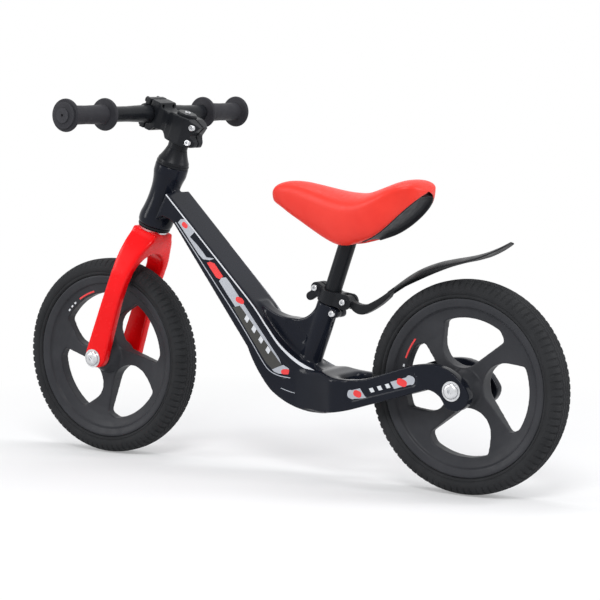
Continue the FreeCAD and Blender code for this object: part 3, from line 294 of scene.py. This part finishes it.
def distance_to_line(points, line):
    """Each point's distance to a chain of straight runs, in the plane of both."""
    best = np.full(len(points), 1e9)
    for start, end in zip(line[:-1], line[1:]):
        run = end - start
        share = np.clip(((points - start) @ run) / max(run @ run, 1e-12), 0, 1)
        best = np.minimum(best, np.linalg.norm(points - start - share[:, None] * run, axis=1))
    return best


def sink(coordinates, normals, line, half_width, depth, edge):
    """Press a channel of round-ended outline into both of a part's side faces, in millimetres."""
    line = np.asarray(line, float) * MM
    away = distance_to_line(coordinates[:, [0, 2]], line)
    inside = np.clip((half_width * MM - away) / (edge * MM), 0, 1)
    ease = inside * inside * (3 - 2 * inside)
    facing = np.clip((np.abs(normals[:, 1]) - 0.8) / 0.15, 0, 1)
    coordinates[:, 1] -= np.sign(coordinates[:, 1]) * ease * facing * depth * MM


MELT_FADE = 22


def melt(piece, low, high, rounds):
    """Blend the shape smoothly inside a box of x and z, in millimetres, fading out at its edges."""
    piece.vertex_groups.clear()
    group = piece.vertex_groups.new(name="melted")
    for vertex in piece.data.vertices:
        share = 1.0
        for value, first, last in ((vertex.co.x, low[0], high[0]), (vertex.co.z, low[1], high[1])):
            share *= min(1.0, max(0.0, min(value / MM - first, last - value / MM) / MELT_FADE))
        if share > 0:
            group.add([vertex.index], share, "REPLACE")
    finished(piece, [("SMOOTH", {"factor": 0.5, "iterations": rounds, "vertex_group": "melted"})])


def cast(node, voxel, rounds, finish, channels=(), melted=()):
    """Stand in for a cast or moulded node with the same shape, its edges rounded as a mould leaves them."""
    source = frame["nodes"][node]
    piece = bpy.data.objects.new(f"{node}_cast", source.data.copy())
    bpy.context.scene.collection.objects.link(piece)
    finished(piece, [
        ("REMESH", {"mode": "VOXEL", "voxel_size": voxel * MM, "adaptivity": 0.0}),
        ("SMOOTH", {"factor": 0.5, "iterations": rounds}),
    ])
    for place in melted:
        melt(piece, *place)
    mesh = piece.data
    count = len(mesh.vertices)
    coordinates = np.empty(3 * count)
    normals = np.empty(3 * count)
    mesh.vertices.foreach_get("co", coordinates)
    mesh.vertices.foreach_get("normal", normals)
    coordinates = coordinates.reshape(-1, 3)
    normals = normals.reshape(-1, 3)
    for channel in channels:
        sink(coordinates, normals, *channel)
    mesh.vertices.foreach_set("co", coordinates.ravel())
    mesh.shade_smooth()
    mesh.update()
    mesh.materials.clear()
    mesh.materials.append(finish)
    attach(piece, body_of_node(node))
    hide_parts(node)
    return piece


BEAM_PANEL = [(152, 349), (124, 318), (95, 284), (60, 243), (26, 199), (0, 166), (-20, 150)]
STAY_PANEL = [(-146, 127.5), (-240, 155)]
WEB_PANEL = [(-24, 213), (-44, 196)]


def cast_parts():
    cast("main_frame", 1.5, 14, BLACK, [
        (BEAM_PANEL, 13.5, 0.9, 2.6),
        (STAY_PANEL, 10.5, 1.2, 2.6),
        (WEB_PANEL, 9.0, 1.2, 3.0),
    ], melted=[((-140, 95), (-40, 200), 70), ((-40, 205), (62, 290), 30)])
    cast("fork", 1.4, 42, RED)
    cast("stem", 0.8, 9, SATIN)
    cast("stem_faceplate", 0.7, 7, SATIN)
    cast("post_collar", 0.7, 5, SATIN)
    cast("mudguard_arm", 0.7, 5, GUARD)
    for side in ("front", "rear"):
        cast(f"{side}_rim", 1.2, 8, WHEEL)


# ---------------------------------------------------------------- tyres

TREAD_STEPS = 1440
TREAD_START = 0.1335
LUGS = 90


def tyre_outline():
    """Points of the tyre's section as (lateral place, radius), from one bead round to the other."""
    half = [(0.0180, 0.1212), (0.0196, 0.1222), (0.0206, 0.1240), (0.0200, 0.1256), (0.0210, 0.1266),
            (0.0221, 0.1286), (0.02245, 0.1308), (0.0222, 0.1332), (0.0215, 0.1358), (0.0203, 0.1384),
            (0.0186, 0.1405), (0.0166, 0.1421), (0.0140, 0.1433), (0.0110, 0.1442), (0.0075, 0.1448),
            (0.0040, 0.14495), (0.0, 0.1450)]
    whole = half + [(-lateral, radius) for lateral, radius in reversed(half[:-1])]
    return smooth_curve(whole, 3)


def tread_depth(lateral, angle):
    """How far the tread is cut below its crown: zig-zag ribs in the middle, lugs at the shoulders."""
    pitch = angle * LUGS / (2 * math.pi)
    wave = np.abs((pitch % 1.0) - 0.5) * 2 - 0.5
    cut_depth = np.zeros(np.broadcast(lateral, angle).shape)
    for middle in (-0.0088, -0.0030, 0.0030, 0.0088):
        away = np.abs(lateral - middle - 0.0016 * wave)
        cut_depth = np.maximum(cut_depth, 0.0019 * np.clip((0.00120 - away) / 0.0005, 0, 1))
    shoulder = np.clip((np.abs(lateral) - 0.0112) / 0.0006, 0, 1)
    shoulder = shoulder * np.clip((0.0222 - np.abs(lateral)) / 0.0006, 0, 1)
    offset = np.where(lateral > 0, 0.0, 0.5)
    gap = np.abs(((pitch + offset) % 1.0) - 0.5) * 2
    lug_gap = np.clip((gap - 0.68) / 0.10, 0, 1)
    cut_depth = np.maximum(cut_depth, 0.0021 * shoulder * lug_gap)
    rim_line = np.clip((0.0005 - np.abs(np.abs(lateral) - 0.0118)) / 0.0003, 0, 1)
    return np.maximum(cut_depth, 0.0009 * rim_line)


def tyre(side):
    low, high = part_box(f"{side}_tyre")
    centre = (np.array(low) + np.array(high)) / 2
    outline = tyre_outline()
    angle = np.linspace(0, 2 * math.pi, TREAD_STEPS, endpoint=False)[:, None]
    lateral = outline[None, :, 0]
    radius = outline[None, :, 1]
    on_tread = radius > TREAD_START
    depth = np.where(on_tread, tread_depth(lateral + 0 * angle, angle), 0)
    reach = radius - depth
    points = np.stack([centre[0] + reach * np.cos(angle), lateral + 0 * angle,
                       centre[2] + reach * np.sin(angle)], axis=-1).reshape(-1, 3)
    faces = grid_faces(TREAD_STEPS, outline.shape[0], wrap_rows=True)
    mesh = mesh_from(f"{side}_tyre_tread", points, faces)
    piece = add_object(f"{side}_tyre_tread", mesh, FOAM, f"{side}_wheel")
    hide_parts(f"{side}_tyre")


# ---------------------------------------------------------------- saddle

SADDLE_ROWS = [
    # x, top, bottom, half width, half width at the bottom, in millimetres
    (10.6, 394.0, 389.0, 3.0, 1.5),
    (8.5, 401.0, 384.8, 9.0, 4.0),
    (3.0, 407.2, 381.0, 14.0, 5.0),
    (-6, 411.2, 376.2, 17.5, 6.0),
    (-20, 413.6, 367.8, 20.2, 7.0),
    (-40, 413.2, 357.0, 23.0, 8.0),
    (-62, 409.8, 345.2, 26.5, 9.5),
    (-84, 405.6, 334.8, 31.0, 12.0),
    (-104, 402.0, 328.6, 35.6, 15.5),
    (-122, 400.0, 328.6, 39.6, 19.0),
    (-140, 399.8, 332.6, 43.2, 22.5),
    (-156, 402.2, 337.6, 46.0, 28.5),
    (-172, 407.2, 344.0, 47.6, 34.0),
    (-188, 413.0, 353.6, 47.6, 37.0),
    (-202, 417.8, 364.4, 45.8, 38.5),
    (-214, 420.2, 375.0, 42.8, 37.5),
    (-224, 419.8, 384.5, 38.0, 33.5),
    (-231.5, 416.6, 392.5, 31.0, 26.5),
    (-236.5, 411.6, 399.0, 21.5, 17.0),
    (-238.8, 406.6, 403.0, 9.0, 6.5),
]


def saddle_section(row, count=26):
    """Half of one cross-section, from the middle of the top round to the edge of the underside."""
    x, top, bottom, half, foot = row
    widest = top - 0.33 * (top - bottom)
    points = []
    for share in np.linspace(0, math.pi / 2, count):
        points.append((x, half * math.sin(share) ** 0.92, widest + (top - widest) * math.cos(share) ** 0.86))
    for share in np.linspace(0, math.pi / 2, count)[1:]:
        points.append((x, foot + (half - foot) * math.cos(share) ** 1.1,
                       widest - (widest - bottom) * math.sin(share) ** 1.15))
    return points


def saddle():
    rows = smooth_curve(SADDLE_ROWS, 5)
    sections = []
    for row in rows:
        half = saddle_section(row)
        x, _, bottom, _, foot = row
        hem = [(x, foot - 2.0, bottom - 0.4), (x, foot - 3.0, bottom + 1.2)] if foot > 4 else \
              [(x, foot * 0.7, bottom), (x, foot * 0.5, bottom)]
        roof = 0.5 if foot <= 4 else 2.6 + 10.0 * min(1.0, max(0.0, (-x - 138) / 14))
        roof = min(roof, 0.45 * (row[1] - bottom))
        inner = [(x, hem[-1][1] * share, bottom + roof) for share in (0.96, 0.5)]
        left = half + hem + inner
        right = [(px, -py, pz) for px, py, pz in reversed(left[1:])]
        middle = [(x, 0.0, inner[-1][2])]
        sections.append(left + middle + right)
    columns = len(sections[0])
    points = [point for section in sections for point in section]
    faces = grid_faces(len(sections), columns)
    faces.append(tuple(range(columns)))
    faces.append(tuple(range(len(points) - 1, len(points) - 1 - columns, -1)))
    mesh = mesh_from("saddle_skin", np.array(points) * MM, faces)
    piece = add_object("saddle_skin", mesh, COVER, "seat")
    finished(piece, [("SUBSURF", {"levels": 1, "render_levels": 1})])
    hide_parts("saddle_cushion")
    underside(rows)


def underside(rows):
    """The shell's rear face: a dark sunk panel inside a raised edge."""
    stations = [row for row in rows if -234 < row[0] < -149.5]
    points, marks = [], []
    for number, (x, top, bottom, _, foot) in enumerate(stations):
        share = min(1.0, number / 5.0, (len(stations) - 1 - number) / 3.0 + 0.15)
        land = foot - 1.0
        inner = max(land - 4.2, 0.6)
        floor = max(inner - 1.2, 0.4)
        drop = min(6.0 * share, 0.3 * (top - bottom))
        behind = min(8.5, 0.42 * (top - bottom))
        profile = [(land, 2.5), (land, -0.9), (land - 0.8, -1.5), (inner + 0.8, -1.5), (inner, -0.9),
                   (floor, drop), (floor * 0.6, drop + 0.6), (0.0, drop + 0.8)]
        left = [(x, lateral, bottom + lift) for lateral, lift in profile]
        right = [(px, -py, pz) for px, py, pz in reversed(left[:-1])]
        back = [(x, -land * 0.4, bottom + behind), (x, land * 0.4, bottom + behind)]
        points.append(left + right + back)
    columns = len(points[0])
    flat = [point for section in points for point in section]
    faces = grid_faces(len(points), columns)
    edge_columns = {1, 2, 3, 10, 11, 12, 13}
    marks = [1 if index % columns in edge_columns else 0 for index in range(len(faces))]
    faces.append(tuple(range(columns)))
    faces.append(tuple(range(len(flat) - 1, len(flat) - 1 - columns, -1)))
    marks += [0, 0]
    mesh = mesh_from("saddle_underside", np.array(flat) * MM, faces, marks=marks)
    piece = add_object("saddle_underside", mesh, [UNDERSIDE, EDGING], "seat")
    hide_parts("saddle_shell")


# ---------------------------------------------------------------- mudguard

GUARD_ROWS = [
    # x, crest, half width, fall from crest to edge, in millimetres
    (-176, 266.5, 6.0, 4.0),
    (-188, 274.6, 7.0, 4.8),
    (-200, 283.0, 9.6, 6.4),
    (-212, 290.8, 14.0, 8.0),
    (-226, 298.6, 19.0, 8.8),
    (-242, 305.4, 22.6, 8.4),
    (-262, 311.8, 23.8, 7.2),
    (-284, 316.6, 23.8, 5.6),
    (-306, 320.8, 22.6, 4.8),
    (-326, 326.0, 20.0, 4.0),
    (-344, 332.8, 15.8, 3.0),
    (-356, 338.4, 12.0, 2.2),
    (-363.5, 342.2, 9.0, 1.6),
]


def mudguard():
    rows = smooth_curve(GUARD_ROWS, 6)
    across = np.linspace(-1, 1, 25)
    tops, bottoms = [], []
    for x, crest, half, fall in rows:
        skin_thickness = 2.2 + 4.5 * max(0.0, 1 - half / 9.0)
        for share in across:
            ridge = 0.7 * math.exp(-(share * half / 2.6) ** 2)
            z = crest - fall * abs(share) ** 2.2 + ridge - 0.5
            tops.append((x, half * share, z))
            bottoms.append((x, half * share * 0.985, z - skin_thickness + 0.4 * abs(share) ** 4))
    columns = len(across)
    count = len(tops)
    upper = grid_faces(len(rows), columns, wrap_columns=False)
    lower = [tuple(count + index for index in reversed(face)) for face in upper]
    sides = []
    for row in range(len(rows) - 1):
        for edge in (0, columns - 1):
            first, second = row * columns + edge, (row + 1) * columns + edge
            sides.append((first, second, count + second, count + first))
    for start in (0, (len(rows) - 1) * columns):
        for column in range(columns - 1):
            first, second = start + column, start + column + 1
            sides.append((first, second, count + second, count + first))
    mesh = mesh_from("mudguard_blade", np.array(tops + bottoms) * MM, upper + lower + sides)
    piece = add_object("mudguard_blade", mesh, GUARD, "mudguard_body")
    finished(piece, [("BEVEL", {"width": 0.0006, "segments": 2, "limit_method": "ANGLE",
                                "angle_limit": math.radians(50)})])
    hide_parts("mudguard")


# ---------------------------------------------------------------- printed marks and a painted highlight

def slab(patches, level, thickness, step):
    """Thin raised patches on both flanks: printed marks, and the painted highlight on the beam's upper edge.
    A patch is its outline in x and z, in millimetres.
    """
    vertices, faces = [], []
    for side in (1, -1):
        for number, patch in enumerate(patches):
            count = len(patch)
            base = len(vertices)
            for lift in (level - 0.6, level + thickness + number * step):
                vertices += [(x * MM, side * lift * MM, z * MM) for x, z in patch]
            faces.append(tuple(range(base + count, base + 2 * count)))
            faces.append(tuple(range(base + count - 1, base - 1, -1)))
            for corner in range(count):
                beside = (corner + 1) % count
                faces.append((base + corner, base + beside, base + count + beside, base + count + corner))
    return vertices, faces


# Draws printed marks. It also draws the painted highlight along the beam's upper edge.
def ink_and_highlight(name, patches, level, finish, body="frame", thickness=0.12, step=0.0):
    vertices, faces = slab(patches, level, thickness, step)
    mesh = mesh_from(name, vertices, faces, smooth=False)
    return add_object(name, mesh, finish, body)


def stripe(points, widths, steps=8):
    """A band of changing width along a smooth line, as quads."""
    centre = smooth_curve([(*point, width) for point, width in zip(points, widths)], steps)
    along = np.gradient(centre[:, :2], axis=0)
    along /= np.linalg.norm(along, axis=1)[:, None]
    across = np.stack([-along[:, 1], along[:, 0]], axis=1) * centre[:, 2:3] / 2
    left, right = centre[:, :2] + across, centre[:, :2] - across
    return [[tuple(left[n]), tuple(left[n + 1]), tuple(right[n + 1]), tuple(right[n])]
            for n in range(len(centre) - 1)]


def outline_band(line, half_width, width, steps=14):
    """A closed band that follows a round-ended outline round a straight line."""
    start, end = np.array(line[0], float), np.array(line[-1], float)
    heading = math.atan2(*(end - start)[::-1])
    points = []
    for centre, first in ((end, heading - math.pi / 2), (start, heading + math.pi / 2)):
        for share in np.linspace(0, math.pi, steps):
            points.append(centre + half_width * np.array([math.cos(first + share), math.sin(first + share)]))
    points = np.array(points + points[:1])
    quads = []
    for near, far in zip(points[:-1], points[1:]):
        axis_near = nearest_on(near, start, end)
        axis_far = nearest_on(far, start, end)
        quads.append([tuple(near), tuple(far), tuple(far + (axis_far - far) * width / half_width),
                      tuple(near + (axis_near - near) * width / half_width)])
    return quads


def nearest_on(point, start, end):
    run = end - start
    share = np.clip(((point - start) @ run) / (run @ run), 0, 1)
    return start + share * run


def oval(x, z, long_half, short_half, turn, count=20):
    angle = np.linspace(0, 2 * math.pi, count, endpoint=False)
    slope = math.radians(turn)
    along = np.abs(np.cos(angle)) ** 0.75 * np.sign(np.cos(angle)) * long_half
    across = np.abs(np.sin(angle)) ** 0.75 * np.sign(np.sin(angle)) * short_half
    return [(x + a * math.cos(slope) - b * math.sin(slope), z + a * math.sin(slope) + b * math.cos(slope))
            for a, b in zip(along, across)]


def chevrons(start, end, count, height, width, lean):
    """Plain slanted bars in a row, from start to end."""
    start, end = np.array(start, float), np.array(end, float)
    along = (end - start) / np.linalg.norm(end - start)
    across = np.array([-along[1], along[0]])
    bars = []
    for share in np.linspace(0, 1, count):
        middle = start + share * (end - start)
        low = middle - across * height / 2 - along * lean
        high = middle + across * height / 2 + along * lean
        bars.append([tuple(low - along * width / 2), tuple(low + along * width / 2),
                     tuple(high + along * width / 2), tuple(high - along * width / 2)])
    return bars


# Printed marks on the frame, plus a pale stripe that paints the highlight on the beam's upper edge.
def decals_and_highlight():
    beam_half = 28.0
    panel = beam_half - 0.9
    # The pale stripe along the beam's upper edge is a painted highlight. It widens towards the back, where
    # the lit ridge broadens.
    ridge = stripe([(181, 389.5), (130, 338.5), (76, 284.5), (30, 238), (6, 209), (-16, 184), (-42, 165),
                    (-66, 154), (-84, 147.5)], [1.6, 1.6, 1.6, 1.6, 2.2, 3.2, 4.2, 4.6, 3.6])
    lower = stripe([(164, 350), (130, 309), (95, 266), (60, 223), (32, 186), (14, 161), (2, 148),
                    (-14, 141.5), (-34, 139.5)], [1.2] * 9)
    ink_and_highlight("beam_ridge_painted_highlight", ridge, beam_half, PALE_INK_AND_HIGHLIGHT)
    ink_and_highlight("beam_lower_stripe", lower, beam_half, SILVER_INK)
    swoosh = stripe([(-18, 124), (-34, 120), (-50, 118)], [1.0, 1.0, 0.5])
    ink_and_highlight("beam_swoosh_marks", swoosh, beam_half, SILVER_INK)
    ink_and_highlight("beam_panel_field", [[(64, 233), (50, 238), (16, 196), (-19, 157), (-4, 149), (6, 156), (34, 193)]],
        panel, DARK_INK)
    silver = [
        [(160, 350), (155, 355), (148, 355), (131, 337), (139, 330), (126, 319), (116, 309), (110, 302),
         (96, 301), (104, 298), (116, 299), (124, 306)],
        [(88, 269), (84, 274), (76, 275), (69, 268), (40, 232), (-15, 165), (-18, 158), (52, 236),
         (60, 234), (74, 251)],
        [(0, 148), (-14, 154), (-22, 157), (-34, 151), (-38, 145), (-14, 144)],
    ]
    ink_and_highlight("beam_panel_silver", silver, panel + 0.05, SILVER_INK, step=0.03)
    reds = [
        oval(148, 346.5, 5.5, 3.6, 35),
        [(109, 294), (104, 296), (96, 294), (86, 282), (81, 276), (87, 272), (93, 274), (103, 286)],
        oval(52, 243.5, 7.5, 4.2, 20),
        oval(-26, 147.5, 8.0, 3.8, -4),
    ]
    ink_and_highlight("beam_panel_red", reds, panel + 0.15, RED_INK)
    ink_and_highlight("beam_panel_bars", chevrons((40, 218), (4, 176), 4, 7.0, 7.5, 1.0), panel + 0.12, PALE_INK_AND_HIGHLIGHT)
    stay_half = 48.0
    recess = stay_half - 1.2
    ink_and_highlight("stay_outline", outline_band(STAY_PANEL, 11.6, 0.9), stay_half - 0.25, SILVER_INK)
    ink_and_highlight("stay_silver", [
        oval(-146.5, 127.8, 6.6, 6.0, 16), oval(-239, 154.8, 6.8, 6.0, 16),
        [(-146, 133.5), (-160, 137.5), (-168, 127), (-173, 125), (-148, 122)],
        [(-240, 149), (-214, 141), (-208, 150), (-240, 160.5)]], recess + 0.05, SILVER_INK, step=0.05)
    ink_and_highlight("stay_red", [oval(-156, 129.5, 6.5, 4.6, 16), oval(-226, 150.5, 8.0, 5.0, 16)],
        recess + 0.35, RED_INK)
    ink_and_highlight("stay_bars", chevrons((-179, 136.5), (-204, 144.2), 3, 6.0, 6.0, 0.8), recess + 0.35, PALE_INK_AND_HIGHLIGHT)


def rim_decals(side, start):
    """A red and a pale band on the rim's inner face, following its curve."""
    low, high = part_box(f"{side}_rim")
    cx, cz = 500 * (low[0] + high[0]), 500 * (low[2] + high[2])

    def band(first, last, inner, outer):
        angles = np.radians(np.linspace(first, last, 14))
        ring = [(cx + outer * math.cos(a), cz + outer * math.sin(a)) for a in angles]
        ring += [(cx + inner * math.cos(a), cz + inner * math.sin(a)) for a in reversed(angles)]
        return ring
    level = 9.4
    ink_and_highlight(f"{side}_rim_red", [band(start + 12, start + 30, 97.0, 103.0)], level, RED_INK, f"{side}_wheel", 0.5)
    ink_and_highlight(f"{side}_rim_pale", [band(start + 4.6 * n, start + 4.6 * n + 2.2, 97.0, 102.6) for n in range(-1, 2)],
        level, PALE_INK_AND_HIGHLIGHT, f"{side}_wheel", 0.5)


# ---------------------------------------------------------------- finishes of the CAD nodes

def dress_cad():
    finishes = {
        STEEL: ["front_axle_bolts", "rear_axle_bolts", "front_axle_washers", "rear_axle_washers",
                "front_axle", "rear_axle", "front_axle_spacers", "rear_axle_spacers",
                "clamp_skewer", "mudguard_pivot_bolt", "binder_bolt", "upper_headset_balls",
                "lower_headset_balls", "upper_headset_cone", "crown_race", "steerer_tube",
                "stem_pinch_bolts", "top_cap_bolt", "star_nut", "saddle_bolt",
                "front_bearing_left", "front_bearing_right", "rear_bearing_left", "rear_bearing_right"],
        SATIN: ["upper_headset_cup", "lower_headset_cup", "headset_cover", "headset_spacer",
                "faceplate_bolts", "top_cap", "handlebar", "seat_post", "clamp_lever", "seat_post_plug"],
        RUBBER: ["left_grip", "right_grip"],
    }
    for finish, names in finishes.items():
        for name in names:
            slots = frame["nodes"][name].material_slots
            for entry in slots:
                entry.material = finish


# ---------------------------------------------------------------- stage, light and camera

def camera_only(tree, seen, otherwise):
    """Mix two shaders: one for the eye and mirrors, the other for everything else."""
    path = tree.nodes.new("ShaderNodeLightPath")
    either = tree.nodes.new("ShaderNodeMath")
    either.operation = "MAXIMUM"
    tree.links.new(path.outputs["Is Camera Ray"], either.inputs[0])
    tree.links.new(path.outputs["Is Transmission Ray"], either.inputs[1])
    either_or_mirror = tree.nodes.new("ShaderNodeMath")
    either_or_mirror.operation = "MAXIMUM"
    tree.links.new(either.outputs[0], either_or_mirror.inputs[0])
    tree.links.new(path.outputs["Is Glossy Ray"], either_or_mirror.inputs[1])
    mix = tree.nodes.new("ShaderNodeMixShader")
    tree.links.new(either_or_mirror.outputs[0], mix.inputs["Fac"])
    tree.links.new(otherwise, mix.inputs[1])
    tree.links.new(seen, mix.inputs[2])
    return mix.outputs["Shader"]


def floor():
    bpy.ops.mesh.primitive_circle_add(vertices=96, radius=14, fill_type="NGON", location=(0, 0, -0.0004))
    ground = bpy.context.active_object
    ground.name = "floor"
    made = bpy.data.materials.new("floor_pale")
    made.use_nodes = True
    tree = made.node_tree
    shader = tree.nodes["Principled BSDF"]
    shader.inputs["Base Color"].default_value = (0.86, 0.86, 0.87, 1)
    shader.inputs["Roughness"].default_value = 0.7
    shader.inputs["Specular IOR Level"].default_value = 0.15
    white = tree.nodes.new("ShaderNodeEmission")
    white.inputs["Color"].default_value = (1, 1, 1, 1)
    where = tree.nodes.new("ShaderNodeVectorMath")
    where.operation = "LENGTH"
    tree.links.new(object_space(tree), where.inputs[0])
    fade = spread(tree, where.outputs["Value"], 0.30, 1.0, 0.35, 1.0)
    mix = tree.nodes.new("ShaderNodeMixShader")
    tree.links.new(fade, mix.inputs["Fac"])
    tree.links.new(shader.outputs["BSDF"], mix.inputs[1])
    tree.links.new(white.outputs["Emission"], mix.inputs[2])
    seen = camera_only(tree, mix.outputs["Shader"], shader.outputs["BSDF"])
    tree.links.new(seen, tree.nodes["Material Output"].inputs["Surface"])
    ground.data.materials.append(made)


def world():
    sky = bpy.data.worlds.new("studio")
    sky.use_nodes = True
    bpy.context.scene.world = sky
    tree = sky.node_tree
    plain = tree.nodes["Background"]
    plain.inputs["Color"].default_value = (0.93, 0.96, 1.0, 1)
    plain.inputs["Strength"].default_value = 0.36
    white = tree.nodes.new("ShaderNodeBackground")
    white.inputs["Color"].default_value = (1, 1, 1, 1)
    seen = camera_only(tree, white.outputs["Background"], plain.outputs["Background"])
    tree.links.new(seen, tree.nodes["World Output"].inputs["Surface"])


def area_light(name, place, aim, width, height, power):
    data = bpy.data.lights.new(name, "AREA")
    data.shape = "RECTANGLE"
    data.size, data.size_y = width, height
    data.energy = power
    lamp = bpy.data.objects.new(name, data)
    bpy.context.scene.collection.objects.link(lamp)
    lamp.location = place
    lamp.rotation_euler = (Vector(aim) - Vector(place)).to_track_quat("-Z", "Y").to_euler()


def camera():
    azimuth, elevation, distance = math.radians(213.3), math.radians(5.99), 2.9566
    aim = Vector((-0.0319, 0.0, 0.2465))
    back = Vector((math.sin(azimuth) * math.cos(elevation), -math.cos(azimuth) * math.cos(elevation),
                   math.sin(elevation)))
    data = bpy.data.cameras.new("camera")
    data.sensor_width = 36
    data.lens = 126.36
    view = bpy.data.objects.new("camera", data)
    bpy.context.scene.collection.objects.link(view)
    view.location = aim + back * distance
    view.rotation_euler = (-back).to_track_quat("-Z", "Y").to_euler()
    bpy.context.scene.camera = view


def studio():
    floor()
    world()
    middle = (0, 0, 0.25)
    area_light("key", (-1.2, 2.0, 2.4), middle, 1.1, 0.8, 46)
    area_light("fill", (1.9, 1.7, 1.2), middle, 0.7, 1.4, 22)
    area_light("rim", (-2.2, -0.9, 1.3), middle, 0.5, 1.6, 26)
    area_light("top", (0.2, -0.3, 2.6), middle, 1.8, 0.7, 24)
    bpy.context.scene.view_settings.view_transform = "Standard"


camera()
dress_cad()
cast_parts()
for wheel_side, decal_start in (("front", 44), ("rear", 8)):
    tyre(wheel_side)
    rim_decals(wheel_side, decal_start)
saddle()
mudguard()
decals_and_highlight()
studio()
